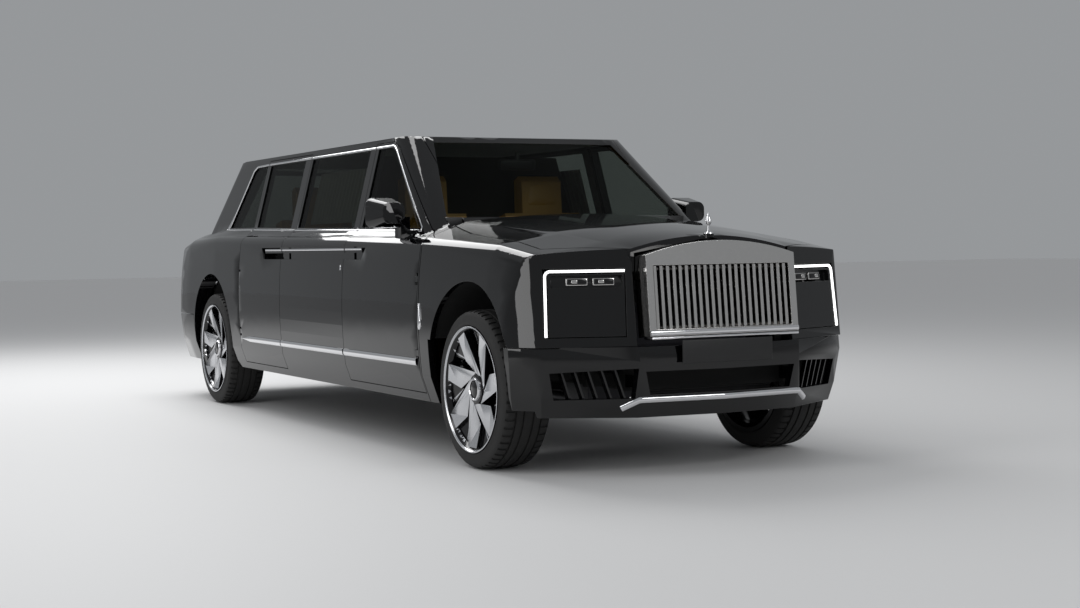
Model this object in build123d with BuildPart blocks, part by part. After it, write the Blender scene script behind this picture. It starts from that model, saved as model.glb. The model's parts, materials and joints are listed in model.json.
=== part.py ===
"""Stretch limousine: a long four-door body on 24 inch wheels, coach doors, two-part tailgate.

Frame: millimetres, +Z up, the car faces -Y, its right side is -X.
Origin on the ground, below the middle of the car's length and width.
"""
import os
from math import cos, radians, sin

from build123d import *

os.makedirs("parts", exist_ok=True)

# Overall sizes
WHEELBASE = 4495.0
FRONT_OVERHANG = 890.0
REAR_OVERHANG = 1170.0
LENGTH = FRONT_OVERHANG + WHEELBASE + REAR_OVERHANG
FRONT_AXLE = -LENGTH / 2 + FRONT_OVERHANG
REAR_AXLE = FRONT_AXLE + WHEELBASE
HALF_WIDTH = 992.0
SILL_Z = 295.0
ROOF_Z = 1835.0

# Walls and gaps
DOOR_WALL = 110.0
ROOF_WALL = 45.0
SKIN = 30.0
TAIL_SKIN = 60.0
SEAM = 5.0
PANE_GAP = 0.3
SEAT_GAP = 0.3
FLANGE = 12.0
SHUT_STEP = 34.0
GLASS_SET = 8.0
GLASS = 6.0

# Wheels
TYRE_R = 405.0
TYRE_W = 275.0
RIM_R = 322.0
BEAD_R = 305.0
WHEEL_FACE_X = 974.0
WHEEL_MID_X = WHEEL_FACE_X - TYRE_W / 2
ARCH_R = 485.0
ARCH_Z = 470.0
WELL_IN_FRONT = 470.0
WELL_IN_REAR = 600.0
LINER = 12.0

# Door and window lines along the car
FRONT_DOOR_Y = FRONT_AXLE + 620.0
B_SEAM_Y = FRONT_AXLE + 1755.0
C_SEAM_Y = REAR_AXLE - 1580.0
REAR_DOOR_Y = REAR_AXLE - 694.0
DOOR_LOW_Z = 345.0
DOOR_TOP_Z = 1750.0
PILLAR_HALF = 62.0
FRAME = 42.0


def save(part, name):
    """Label one finished piece and write it as its own STEP file."""
    part.label = name
    export_step(part, f"parts/{name}.step")


def front(v):
    """A place along the car measured back from the front axle."""
    return FRONT_AXLE + v


def rear(v):
    """A place along the car measured back from the rear axle."""
    return REAR_AXLE + v


# The lower body, as cross-sections from nose to tail. Columns: place along the car, half
# width at the lower edge of the side, at its fullest, at the shoulder, shoulder height,
# half width and height of the crease or window line, height on the centre line.
BODY_SECTIONS = [
    (front(-930.0), 950.0, 972.0, 895.0, 1012.0, 400.0, 1070.0, 1140.0),
    (front(-595.0), 968.0, 984.0, 915.0, 1066.0, 485.0, 1142.0, 1192.0),
    (front(-232.0), 975.0, HALF_WIDTH, 936.0, 1120.0, 570.0, 1190.0, 1236.0),
    (front(620.0), 975.0, HALF_WIDTH, 956.0, 1168.0, 705.0, 1268.0, 1308.0),
    (front(900.0), 975.0, HALF_WIDTH, 958.0, 1172.0, 872.0, 1230.0, 1242.0),
    (rear(-80.0), 975.0, HALF_WIDTH, 958.0, 1214.0, 866.0, 1284.0, 1290.0),
    (rear(640.0), 965.0, 984.0, 940.0, 1196.0, 830.0, 1246.0, 1250.0),
    (rear(1200.0), 935.0, 955.0, 905.0, 1112.0, 790.0, 1140.0, 1150.0),
]
SIDE_LOW_Z = 440.0
SILL_TUCK = 50.0
SHOULDER_R = 34.0

# The nose and tail in plan. The lamp panels stand square to the line from the grille's
# corner to the lamp's outer corner, and the whole face leans back as it rises.
LAMP_IN = (450.0, front(-775.0))
LAMP_OUT = (880.0, front(-600.0))
CORNER_MID = (962.0, front(-480.0))
CORNER_END = (1020.0, front(-250.0))
NOSE_LEAN = 0.12
NOSE_REF_Z = 850.0
TAIL_MID_Y = rear(REAR_OVERHANG)
TAIL_SIDE = (640.0, rear(1130.0))
TAIL_CORNER = (905.0, rear(980.0))
TAIL_END = (1020.0, rear(600.0))
TAIL_LEAN = -0.10
TAIL_REF_Z = 640.0
TAIL_TUCK = 0.25

# The greenhouse in plan at two heights. Columns: height, windscreen middle, windscreen
# corner (half width, place), side start (half width, place), side end (half width, place),
# rear corner (half width, place), rear middle.
GREENHOUSE = [
    (1000.0, front(213.0), 824.0, front(379.0), 938.0, front(574.0),
     925.0, rear(528.0), 724.0, rear(766.0), rear(870.0)),
    (1900.0, front(1478.0), 500.0, front(1445.0 + 20.0), 706.0, front(1690.0),
     692.0, rear(-120.0), 520.0, rear(10.0), rear(66.0)),
]
ROOF_EDGE = (760.0, 1773.0)
ROOF_LINE = [(front(1180.0), 1762.0), (front(2500.0), ROOF_Z), (rear(420.0), 1730.0)]


def body_form(inset):
    """The lower body as one closed form, drawn in from the outer skin by inset."""
    with BuildPart() as form:
        for y, x_low, x_side, x_top, z_top, x_belt, z_belt, z_mid in BODY_SECTIONS:
            with BuildSketch(Plane.XZ.offset(-y)):
                with BuildLine():
                    low = SILL_Z + inset
                    Line((inset - x_low + SILL_TUCK, low), (x_low - SILL_TUCK - inset, low))
                    for side in (1, -1):
                        sill = (side * (x_low - SILL_TUCK - inset), low)
                        foot = (side * (x_low - inset), SIDE_LOW_Z + inset / 2)
                        full = (side * (x_side - inset), 760.0)
                        edge = (side * (x_top + 8.0 - inset), z_top - SHOULDER_R - inset / 2)
                        crown = (side * (x_top - 8.0 - inset), z_top - 4.0 - inset * 0.8)
                        inner = (side * (x_top - 38.0 - inset), z_top + 18.0 - inset)
                        belt = (side * (x_belt - inset / 2), z_belt - inset)
                        Line(sill, foot)
                        ThreePointArc(foot, full, edge)
                        ThreePointArc(edge, crown, inner)
                        Line(inner, belt)
                    ThreePointArc((inset / 2 - x_belt, z_belt - inset), (0, z_mid - inset),
                                  (x_belt - inset / 2, z_belt - inset))
                make_face()
        loft(ruled=True)
        with BuildSketch(Plane.XY) as nose:
            with BuildLine():
                back = front(2000.0)
                fwd = -NOSE_LEAN * NOSE_REF_Z + inset
                Line((-LAMP_IN[0], LAMP_IN[1] + fwd), (LAMP_IN[0], LAMP_IN[1] + fwd))
                for side in (1, -1):
                    start = (side * LAMP_IN[0], LAMP_IN[1] + fwd)
                    out = (side * (LAMP_OUT[0] - inset / 2), LAMP_OUT[1] + fwd)
                    mid = (side * (CORNER_MID[0] - inset), CORNER_MID[1] + fwd)
                    end = (side * (CORNER_END[0] - inset), CORNER_END[1] + fwd)
                    Line(start, out)
                    ThreePointArc(out, mid, end)
                    Line(end, (side * (CORNER_END[0] - inset), back + LENGTH))
                Line((inset - CORNER_END[0], back + LENGTH), (CORNER_END[0] - inset, back + LENGTH))
            make_face()
        extrude(amount=2000.0, dir=(0, NOSE_LEAN, 1), mode=Mode.INTERSECT)
        for lean in (TAIL_LEAN, TAIL_TUCK):
            with BuildSketch(Plane.XY) as tail:
                with BuildLine():
                    ahead = front(-2000.0)
                    aft = -lean * TAIL_REF_Z - inset
                    ThreePointArc((-TAIL_SIDE[0], TAIL_SIDE[1] + aft), (0, TAIL_MID_Y + aft),
                                  (TAIL_SIDE[0], TAIL_SIDE[1] + aft))
                    for side in (1, -1):
                        start = (side * TAIL_SIDE[0], TAIL_SIDE[1] + aft)
                        mid = (side * (TAIL_CORNER[0] - inset / 2), TAIL_CORNER[1] + aft)
                        end = (side * (TAIL_END[0] - inset), TAIL_END[1] + aft)
                        ThreePointArc(start, mid, end)
                        Line(end, (side * (TAIL_END[0] - inset), ahead))
                    Line((inset - TAIL_END[0], ahead), (TAIL_END[0] - inset, ahead))
                make_face()
            extrude(tail.sketch, amount=2000.0, dir=(0, lean, 1), mode=Mode.INTERSECT)
    return form.part


def greenhouse_form(inset):
    """The glasshouse and roof as one closed form, drawn in from the outer skin by inset."""
    with BuildPart() as form:
        for (z, y_mid, x_c, y_c, x_s, y_s, x_e, y_e, x_r, y_r, y_back) in GREENHOUSE:
            with BuildSketch(Plane.XY.offset(z)):
                with BuildLine():
                    ThreePointArc((-(x_c - inset / 2), y_c + inset), (0, y_mid + inset),
                                  (x_c - inset / 2, y_c + inset))
                    for side in (1, -1):
                        screen = (side * (x_c - inset / 2), y_c + inset)
                        turn = (side * ((x_c + x_s) / 2 + 0.29 * (x_s - x_c) - inset * 0.8),
                                y_c + 0.25 * (y_s - y_c) + inset * 0.8)
                        start = (side * (x_s - inset), y_s + inset / 2)
                        end = (side * (x_e - inset), y_e - inset / 2)
                        bend = (side * ((x_e + x_r) / 2 + 0.25 * (x_e - x_r) - inset * 0.8),
                                y_r + 0.32 * (y_e - y_r) - inset * 0.8)
                        corner = (side * (x_r - inset / 2), y_r - inset)
                        ThreePointArc(screen, turn, start)
                        Line(start, end)
                        ThreePointArc(end, bend, corner)
                    ThreePointArc((-(x_r - inset / 2), y_r - inset), (0, y_back - inset),
                                  (x_r - inset / 2, y_r - inset))
                make_face()
        loft(ruled=True)
        with BuildSketch(Plane.XZ.offset(-FRONT_AXLE)):
            with BuildLine():
                edge_x, edge_z = ROOF_EDGE
                ThreePointArc((-edge_x, edge_z - inset), (0, ROOF_Z - inset), (edge_x, edge_z - inset))
                Polyline((edge_x, edge_z - inset), (1100.0, edge_z - inset - 120.0), (1100.0, 1000.0),
                         (-1100.0, 1000.0), (-1100.0, edge_z - inset - 120.0), (-edge_x, edge_z - inset))
            make_face()
        extrude(amount=-LENGTH, mode=Mode.INTERSECT)
        with BuildSketch(Plane.YZ.offset(-1200.0)):
            with BuildLine():
                lift = [(y, z - inset) for y, z in ROOF_LINE]
                ThreePointArc(*lift)
                Polyline(lift[2], (rear(2000.0), lift[2][1] - 300.0), (rear(2000.0), 1000.0),
                         (front(-500.0), 1000.0), (front(-500.0), lift[0][1] - 300.0), lift[0])
            make_face()
        extrude(amount=2400.0, mode=Mode.INTERSECT)
    return form.part


def side_prism(points, side, x_in=300.0, x_out=1100.0):
    """A side-view outline carried across one side of the car."""
    with BuildPart() as prism:
        with BuildSketch(Plane.YZ.offset(side * x_in)):
            with BuildLine():
                Polyline(*points, close=True)
            make_face()
        extrude(amount=side * (x_out - x_in))
    return prism.part


def block(x0, x1, y0, y1, z0, z1):
    """A plain box between two corners."""
    with BuildPart() as box:
        with BuildSketch(Plane.XY.offset(z0)):
            with Locations(((x0 + x1) / 2, (y0 + y1) / 2)):
                Rectangle(abs(x1 - x0), abs(y1 - y0))
        extrude(amount=z1 - z0)
    return box.part


def shrunk(outline, gap):
    """A mirror-symmetric XZ outline drawn in by a small gap."""
    mid_z = sum(z for x, z in outline) / len(outline)
    return [(x - gap if x > 0 else x + gap, z - gap if z > mid_z else z + gap) for x, z in outline]


def face_prism(points, y0, y1):
    """A front-view outline carried along the car from y0 to y1."""
    with BuildPart() as prism:
        with BuildSketch(Plane.XZ.offset(-y0)):
            with BuildLine():
                Polyline(*points, close=True)
            make_face()
        extrude(amount=-(y1 - y0))
    return prism.part


def plan_prism(points, z0, z1, gap=0.0):
    """A plan outline, grown by a gap all round, carried up from z0 to z1."""
    with BuildPart() as prism:
        with BuildSketch(Plane.XY.offset(z0)):
            with BuildLine():
                Polyline(*points, close=True)
            make_face()
            if gap:
                offset(amount=gap, kind=Kind.INTERSECTION)
        extrude(amount=z1 - z0)
    return prism.part


def along_x(radius, x0, x1, y, z):
    """A round bar that lies across the car."""
    with BuildPart() as bar:
        with BuildSketch(Plane.YZ.offset(x0)):
            with Locations((y, z)):
                Circle(radius)
        extrude(amount=x1 - x0)
    return bar.part


def upright(radius, x, y, z0, z1):
    """A round bar that stands upright."""
    with BuildPart() as bar:
        with BuildSketch(Plane.XY.offset(z0)):
            with Locations((x, y)):
                Circle(radius)
        extrude(amount=z1 - z0)
    return bar.part


def along_y(radius, x, z, y0, y1):
    """A round bar that lies along the car."""
    with BuildPart() as bar:
        with BuildSketch(Plane.XZ.offset(-y0)):
            with Locations((x, z)):
                Circle(radius)
        extrude(amount=-(y1 - y0))
    return bar.part


def keep(part):
    """The part as one compound without stray empty shapes."""
    solids = [s for s in part.solids() if s.volume > 1000.0]
    return Compound(children=solids) if len(solids) > 1 else solids[0]


# Shared forms
body_outer = body_form(0.0)
glass_outer = greenhouse_form(0.0)
outer = body_outer + glass_outer
cabin_front = block(-1100, 1100, front(560.0), rear(2000.0), 200.0, 2000.0)
cabin_void = (body_form(DOOR_WALL) + greenhouse_form(ROOF_WALL)) & cabin_front
wall = outer - cabin_void
cabin_fit = body_form(DOOR_WALL + 3.0) + greenhouse_form(ROOF_WALL + 3.0)
nose_skin = body_outer - body_form(SKIN)
skin_fit = body_form(SKIN + SEAT_GAP)
tail_fit = body_form(TAIL_SKIN + SEAT_GAP)
wall_fit = body_form(DOOR_WALL + SEAT_GAP)
rim_fit = body_form(FLANGE + SEAT_GAP)

arches = [along_x(ARCH_R, s * 300.0, s * 1100.0, y, ARCH_Z)
          for s in (1, -1) for y in (FRONT_AXLE, REAR_AXLE)]
arch_feet = [block(s * 300.0, s * 1100.0, y - ARCH_R, y + ARCH_R, 200.0, ARCH_Z)
             for s in (1, -1) for y in (FRONT_AXLE, REAR_AXLE)]
arch_cut = arches[0].fuse(*arches[1:], *arch_feet)

# Window and door outlines in side view. Columns: place along the car, height.
BELT_A, BELT_B, BELT_C, BELT_D = 1236.0, 1252.0, 1268.0, 1290.0
GLASS_TOP = 1718.0
FRONT_GLASS = [(front(800.0), BELT_A), (front(1420.0), 1690.0), (front(1490.0), GLASS_TOP),
               (front(1712.0), GLASS_TOP), (front(1712.0), BELT_B)]
MID_GLASS = [(front(1845.0), BELT_B), (front(1845.0), GLASS_TOP),
             (rear(-1610.0), GLASS_TOP), (rear(-1610.0), BELT_C)]
REAR_GLASS = [(rear(-1468.0), BELT_C), (rear(-1468.0), GLASS_TOP),
              (rear(-728.0), GLASS_TOP), (rear(-728.0), BELT_D - 6.0)]
QUARTER_GLASS = [(rear(-660.0), BELT_D - 6.0), (rear(-660.0), GLASS_TOP),
                 (rear(-420.0), GLASS_TOP - 4.0), (rear(-360.0), GLASS_TOP - 30.0),
                 (rear(-85.0), BELT_D)]
FRONT_DOOR = [(FRONT_DOOR_Y, DOOR_LOW_Z), (FRONT_DOOR_Y, 1180.0), (front(712.0), 1226.0),
              (front(1385.0), 1716.0), (front(1472.0), DOOR_TOP_Z), (B_SEAM_Y, DOOR_TOP_Z),
              (B_SEAM_Y, DOOR_LOW_Z)]
REAR_DOOR = [(C_SEAM_Y, DOOR_LOW_Z), (C_SEAM_Y, DOOR_TOP_Z), (REAR_DOOR_Y, DOOR_TOP_Z),
             (REAR_DOOR_Y, DOOR_LOW_Z)]


def grown(points, gap, side):
    """A side-view outline grown by a gap all round, carried across one side."""
    with BuildPart() as prism:
        with BuildSketch(Plane.YZ.offset(side * 300.0)):
            with BuildLine():
                Polyline(*points, close=True)
            make_face()
            offset(amount=gap, kind=Kind.INTERSECTION)
        extrude(amount=side * 800.0)
    return prism.part


HANDLE = {"z_low": 1064.0, "z_top": 1140.0, "y0": front(1470.0), "y1": rear(-1230.0)}
ROOF_HALF = 640.0
DOOR_IN_X = 655.0
TAILGATE_HALF = 690.0
TAILGATE_TOP = 545.0
TAIL_SPLIT_Z = 880.0
BUMPER_TOP = 640.0
FLOOR_HALF = 800.0

handle_recess = [side_prism([(HANDLE["y0"], HANDLE["z_low"]), (HANDLE["y0"] - 60.0, HANDLE["z_top"]),
                             (HANDLE["y1"] + 60.0, HANDLE["z_top"]), (HANDLE["y1"], HANDLE["z_low"])],
                            s, 905.0) for s in (1, -1)]
floor_box = block(-875.0, 875.0, front(-2000.0), rear(2000.0), 200.0, 412.0)
screen_outline = [(-752.0, 1296.0), (752.0, 1296.0), (590.0, 1738.0), (-590.0, 1738.0)]
screen_hole = face_prism(screen_outline, front(-200.0), front(1600.0))
flange_form = body_form(FLANGE) + greenhouse_form(FLANGE)
glass_band = greenhouse_form(GLASS_SET) - greenhouse_form(GLASS_SET + GLASS)

LAMP_X0, LAMP_X1, TAIL_LAMP_LOW, TAIL_LAMP_TOP = 712.0, 900.0, 800.0, 1050.0
lamp_outline = [(LAMP_X0, TAIL_LAMP_LOW), (LAMP_X1, TAIL_LAMP_LOW),
                (LAMP_X1 - 20.0, TAIL_LAMP_TOP), (LAMP_X0, TAIL_LAMP_TOP)]
LAMP_MID_X, LAMP_MID_Z, LAMP_GAP = (LAMP_X0 + LAMP_X1) / 2, (TAIL_LAMP_LOW + TAIL_LAMP_TOP) / 2, 3.0


def lamp_grown(side, gap):
    """The tail lamp's outline on one side, grown by a gap all round."""
    return [(side * (x + (gap if x > LAMP_MID_X else -gap)), z + (gap if z > LAMP_MID_Z else -gap))
            for x, z in lamp_outline]


tail_holes = [face_prism(lamp_grown(s, LAMP_GAP), rear(800.0), rear(1400.0)) for s in (1, -1)]

HANDLE_RUNS = {"front": (HANDLE["y0"] + 6.0, B_SEAM_Y - 3.0), "middle": (B_SEAM_Y + SEAM + 3.0, C_SEAM_Y - SEAM - 3.0),
               "rear": (C_SEAM_Y + 3.0, HANDLE["y1"] - 6.0)}


def handle_bar(side, y0, y1):
    """The pull bar that bridges the long recess, on a post at each end."""
    with BuildPart() as bar:
        add(block(side * 942.0, side * 966.0, y0, y1, 1104.0, 1132.0))
        for y in (y0 + 20.0, y1 - 20.0):
            add(block(side * 900.0, side * 944.0, y - 12.0, y + 12.0, 1108.0, 1128.0))
    return bar.part


# Door hinges: upright pins just inside the skin, held in cranked lugs on the post. The
# hinged edge of the door is round about the pin, and the post is hollowed to suit.
HINGE_X, HINGE_BACK, EDGE_R = 976.0, 24.0, 24.0
HINGE_PIN_R, HINGE_PLAY, LUG_R, LUG_THICK, LUG_SPAN = 6.0, 0.05, 9.0, 12.0, 30.0
CRANK_OUT, CRANK_IN, POCKET_GAP = 44.0, 26.0, 2.0
HINGE_Z = (560.0, 960.0)
# Columns: outline, glass outline, place of the hinge pins, which way the post lies, shut edge.
DOORS = {"front": (FRONT_DOOR, FRONT_GLASS, FRONT_DOOR_Y + HINGE_BACK, -1, B_SEAM_Y),
         "rear": (REAR_DOOR, REAR_GLASS, REAR_DOOR_Y - HINGE_BACK, 1, C_SEAM_Y)}


def past_round(side, y, post, gap):
    """What lies outboard of the pin and past the round edge of radius EDGE_R and a gap."""
    beyond = block(side * HINGE_X, side * 1100.0, y, y + post * 80.0, 200.0, 1900.0)
    return beyond - upright(EDGE_R + gap, side * HINGE_X, y, 200.0, 1900.0)


def hinge_lugs(side, y, post):
    """Both hinges' pins with the cranked lugs that carry them."""
    with BuildPart() as lugs:
        for z in HINGE_Z:
            add(upright(HINGE_PIN_R, side * HINGE_X, y, z - LUG_SPAN, z + LUG_SPAN))
            for low in (z - LUG_SPAN, z + LUG_SPAN - LUG_THICK):
                add(upright(LUG_R, side * HINGE_X, y, low, low + LUG_THICK))
                add(block(side * (HINGE_X - CRANK_OUT), side * HINGE_X, y - LUG_R, y + LUG_R,
                          low, low + LUG_THICK))
                add(block(side * (HINGE_X - CRANK_OUT), side * (HINGE_X - CRANK_IN), y,
                          y + post * (HINGE_BACK + SEAM + 1.0), low, low + LUG_THICK))
    return lugs.part


def hinge_pockets(side, y, post):
    """The room in the door for the lugs, and the eyes that the pins run in."""
    with BuildPart() as room:
        for z in HINGE_Z:
            add(upright(HINGE_PIN_R + HINGE_PLAY, side * HINGE_X, y, z - LUG_SPAN, z + LUG_SPAN))
            for low in (z - LUG_SPAN, z + LUG_SPAN - LUG_THICK):
                add(block(side * (HINGE_X - CRANK_OUT - 6.0), side * (HINGE_X + LUG_R + POCKET_GAP),
                          y - post * (LUG_R + POCKET_GAP), y + post * 40.0,
                          low - POCKET_GAP, low + LUG_THICK + POCKET_GAP))
    return room.part


SIDES = (("right", -1), ("left", 1))
STOP_Z = (1090.0, 1130.0)
for name, side in SIDES:
    for door_name, (outline, glass, pin_y, post, shut_y) in DOORS.items():
        door = (wall & side_prism(outline, side, DOOR_IN_X)) - side_prism(glass, side) - floor_box
        door = door - handle_recess[0] - handle_recess[1] + handle_bar(side, *HANDLE_RUNS[door_name])
        stepped = flange_form & block(side * 300.0, side * 1100.0, shut_y, shut_y + post * SHUT_STEP,
                                      200.0, 1900.0)
        door = door - past_round(side, pin_y, post, 0.0) - stepped - hinge_pockets(side, pin_y, post)
        save(keep(door), f"door_{door_name}_{name}")
        pane = glass_band & grown(glass, -PANE_GAP, side)
        save(keep(pane), f"window_{door_name}_{name}")

    fixed = wall & block(side * 2.0, side * 1100.0, front(605.0), rear(2000.0), SILL_Z - 5.0, 1900.0)
    cuts = [grown(shape, SEAM, side) - past_round(side, pin_y, post, SEAM)
            for shape, pane_shape, pin_y, post, shut_y in DOORS.values()]
    cuts += [
            side_prism(MID_GLASS, side), side_prism(QUARTER_GLASS, side), arch_cut,
            block(-ROOF_HALF, ROOF_HALF, front(1100.0), rear(2000.0), 1500.0, 1900.0),
            block(-FLOOR_HALF, FLOOR_HALF, front(500.0), rear(2000.0), 200.0, 500.0),
            block(-760.0, 760.0, front(500.0), front(960.0), 900.0, 1296.0),
            screen_hole,
            face_prism([(-TAILGATE_HALF - SEAM, 200.0), (TAILGATE_HALF + SEAM, 200.0),
                        (TAILGATE_HALF + SEAM, 1250.0), (TAILGATE_TOP + SEAM, 1800.0),
                        (-TAILGATE_TOP - SEAM, 1800.0), (-TAILGATE_HALF - SEAM, 1250.0)],
                       rear(-60.0), rear(2000.0)),
            block(-1100.0, 1100.0, rear(ARCH_R - 5.0), rear(2000.0), 200.0, BUMPER_TOP + SEAM),
            handle_recess[0], handle_recess[1]] + tail_holes
    for cut in cuts:
        fixed = fixed - cut
    fixed = fixed + handle_bar(side, *HANDLE_RUNS["middle"])
    for shape, pane_shape, pin_y, post, shut_y in DOORS.values():
        fixed = fixed + hinge_lugs(side, pin_y, post)
    stop = block(side * (TAILGATE_HALF - 12.0), side * (TAILGATE_HALF + 12.0), rear(700.0), rear(2000.0), *STOP_Z)
    fixed = fixed + (stop & rim_fit & wall)
    save(keep(fixed), f"body_side_{name}")

# Roof, windscreen and fixed side glass
roof = wall & block(-ROOF_HALF + SEAM, ROOF_HALF - SEAM, front(1100.0), rear(2000.0), 1500.0, 1900.0)
hatch_zone = face_prism([(-TAILGATE_HALF - SEAM, 200.0), (TAILGATE_HALF + SEAM, 200.0),
                         (TAILGATE_HALF + SEAM, 1250.0), (TAILGATE_TOP + SEAM, 1800.0),
                         (TAILGATE_TOP + SEAM, 1900.0), (-TAILGATE_TOP - SEAM, 1900.0),
                         (-TAILGATE_TOP - SEAM, 1800.0), (-TAILGATE_HALF - SEAM, 1250.0)],
                        rear(-60.0), rear(2000.0))
roof = roof - screen_hole - hatch_zone
save(keep(roof), "roof")

screen_pane = face_prism(shrunk(screen_outline, PANE_GAP), front(-200.0), front(1600.0))
save(keep(glass_band & screen_pane), "windscreen")
fixed_panes = []
for side in (1, -1):
    fixed_panes += list((glass_band & grown(MID_GLASS, -PANE_GAP, side)).solids())
    fixed_panes += list((glass_band & grown(QUARTER_GLASS, -PANE_GAP, side)).solids())
save(Compound(children=fixed_panes), "fixed_side_glass")

# Tailgate, in two parts that meet at the split line
GATE_STEP = 16.0


def gate_outline(drawn_in):
    """The upper tailgate from behind, drawn in at its sides."""
    half, crown = TAILGATE_HALF - drawn_in, TAILGATE_TOP - drawn_in
    return face_prism([(-half, TAIL_SPLIT_Z), (half, TAIL_SPLIT_Z), (half, 1250.0), (crown, 1800.0),
                       (crown, 1900.0), (-crown, 1900.0), (-crown, 1800.0), (-half, 1250.0)],
                      rear(-60.0 + SEAM), rear(2000.0))


hatch_upper = gate_outline(0.0)
gate_step = (flange_form & hatch_upper) - gate_outline(GATE_STEP)
rear_glass_outline = [(-600.0, 1300.0), (600.0, 1300.0), (500.0, 1690.0), (-500.0, 1690.0)]
rear_glass_hole = face_prism(rear_glass_outline, rear(0.0), rear(2000.0))
FLAP_HINGE = (rear(REAR_OVERHANG + 9.0), BUMPER_TOP + SEAM / 2)
FLAP_R = TAIL_SPLIT_Z - SEAM - FLAP_HINGE[1]
save(keep((wall & hatch_upper) - rear_glass_hole - gate_step), "tailgate_upper")
rear_pane = face_prism(shrunk(rear_glass_outline, PANE_GAP), rear(0.0), rear(2000.0))
save(keep(glass_band & rear_pane), "tailgate_glass")
hatch_lower = block(-TAILGATE_HALF, TAILGATE_HALF, rear(700.0), rear(2000.0),
                    BUMPER_TOP + SEAM, TAIL_SPLIT_Z - SEAM)
flap_round = along_x(FLAP_R, -TAILGATE_HALF - 10.0, TAILGATE_HALF + 10.0, *FLAP_HINGE)
save(keep(wall & hatch_lower & flap_round), "tailgate_lower")


# Nose: fenders, bonnet, lamps, grille and bumper
BONNET_REAR_Y = front(596.0)
BONNET_GAP = 7.0
FINIAL_Y = front(-735.0)
FINIAL_FOOT_Z = 1177.0
BONNET_FRONT_Y = front(-742.0)
BONNET_LINE = [(760.0, BONNET_REAR_Y), (800.0, front(300.0)), (800.0, front(-480.0)),
               (452.0, BONNET_FRONT_Y)]
bonnet_plan = BONNET_LINE + [(-x, y) for x, y in reversed(BONNET_LINE)]
bonnet_zone = plan_prism(bonnet_plan, 1000.0, 1500.0)
bonnet = (nose_skin & bonnet_zone) + upright(27.0, 0.0, FINIAL_Y, 1155.0, FINIAL_FOOT_Z)

lamp_dx, lamp_dy = LAMP_OUT[0] - LAMP_IN[0], LAMP_OUT[1] - LAMP_IN[1]
LAMP_MID = ((LAMP_IN[0] + LAMP_OUT[0]) / 2, (LAMP_IN[1] + LAMP_OUT[1]) / 2)
lamp_plane = Plane(origin=(LAMP_MID[0], LAMP_MID[1], NOSE_REF_Z), x_dir=(lamp_dx, lamp_dy, 0),
                   z_dir=(lamp_dy, -lamp_dx, NOSE_LEAN * lamp_dx))
LAMP_U0, LAMP_U1, LAMP_V0, LAMP_V1 = -190.0, 212.0, -165.0, 168.0
LAMP_DEPTH = 60.0


def lamp_block(u0, u1, v0, v1, out, depth):
    """A block on the left lamp's plane, from out in front of the skin to depth behind it."""
    with BuildPart() as piece:
        with BuildSketch(lamp_plane.offset(out)):
            with Locations(((u0 + u1) / 2, (v0 + v1) / 2)):
                Rectangle(u1 - u0, v1 - v0)
        extrude(amount=-(out + depth))
    return piece.part


lamp_hole = lamp_block(LAMP_U0, LAMP_U1, LAMP_V0, LAMP_V1, 80.0, LAMP_DEPTH + SEAM)
strip_top = lamp_block(LAMP_U0 + 4, LAMP_U1 - 4, LAMP_V1 - 20, LAMP_V1 - 4, 4.0, 20.0)
strip_side = lamp_block(LAMP_U1 - 20, LAMP_U1 - 4, LAMP_V0 + 4, LAMP_V1 - 4, 4.0, 20.0)
strip = strip_top + strip_side
panel = lamp_block(LAMP_U0 + 4, LAMP_U1 - 25, LAMP_V0 + 4, LAMP_V1 - 25, -2.0, LAMP_DEPTH)
slot = lamp_block(LAMP_U0 + 14, LAMP_U1 - 40, LAMP_V1 - 92, LAMP_V1 - 34, 20.0, 30.0)
LAMP_STAY = (-60.0, 0.0, -60.0, -20.0)
panel = panel - slot + lamp_block(*LAMP_STAY, -LAMP_DEPTH + 2.0, LAMP_DEPTH + 30.0)
lamp_post = lamp_block(*LAMP_STAY, -LAMP_DEPTH - 30.0 - SEAT_GAP, LAMP_DEPTH + 60.0)
save(Compound(children=[panel.solids()[0], mirror(panel, about=Plane.YZ).solids()[0]]), "headlamps")
save(Compound(children=[strip.solids()[0], mirror(strip, about=Plane.YZ).solids()[0]]), "lamp_strips")
lamp_holes = lamp_hole + mirror(lamp_hole, about=Plane.YZ)

GRILLE_HALF = 430.0
GRILLE_LOW, GRILLE_SHOULDER, GRILLE_PEAK = 690.0, 1082.0, 1148.0
GRILLE_Y = front(-884.0)
GRILLE_TILT = 5.5
GRILLE_DEPTH = 110.0
VANES = 22
OPEN_HALF, OPEN_LOW, OPEN_TOP = 392.0, 722.0, 1030.0
grille_plane = Plane(origin=(0, GRILLE_Y, GRILLE_LOW), x_dir=(1, 0, 0),
                     z_dir=(0, -cos(radians(GRILLE_TILT)), sin(radians(GRILLE_TILT))))
with BuildPart() as frame:
    with BuildSketch(grille_plane):
        with BuildLine():
            top = GRILLE_SHOULDER - GRILLE_LOW
            Polyline((-GRILLE_HALF, top), (-GRILLE_HALF, 0), (GRILLE_HALF, 0), (GRILLE_HALF, top))
            ThreePointArc((-GRILLE_HALF, top), (0, GRILLE_PEAK - GRILLE_LOW), (GRILLE_HALF, top))
        make_face()
    extrude(amount=-GRILLE_DEPTH)
    with BuildSketch(grille_plane):
        with Locations((0, (OPEN_LOW + OPEN_TOP) / 2 - GRILLE_LOW)):
            Rectangle(2 * OPEN_HALF, OPEN_TOP - OPEN_LOW)
    extrude(amount=-GRILLE_DEPTH, mode=Mode.SUBTRACT)
    for s in (1, -1):
        add(block(s * 397.0, s * 427.0, front(-790.0), front(-700.0) - SEAT_GAP, 860.0, 900.0))
save(frame.part, "grille_frame")
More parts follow.
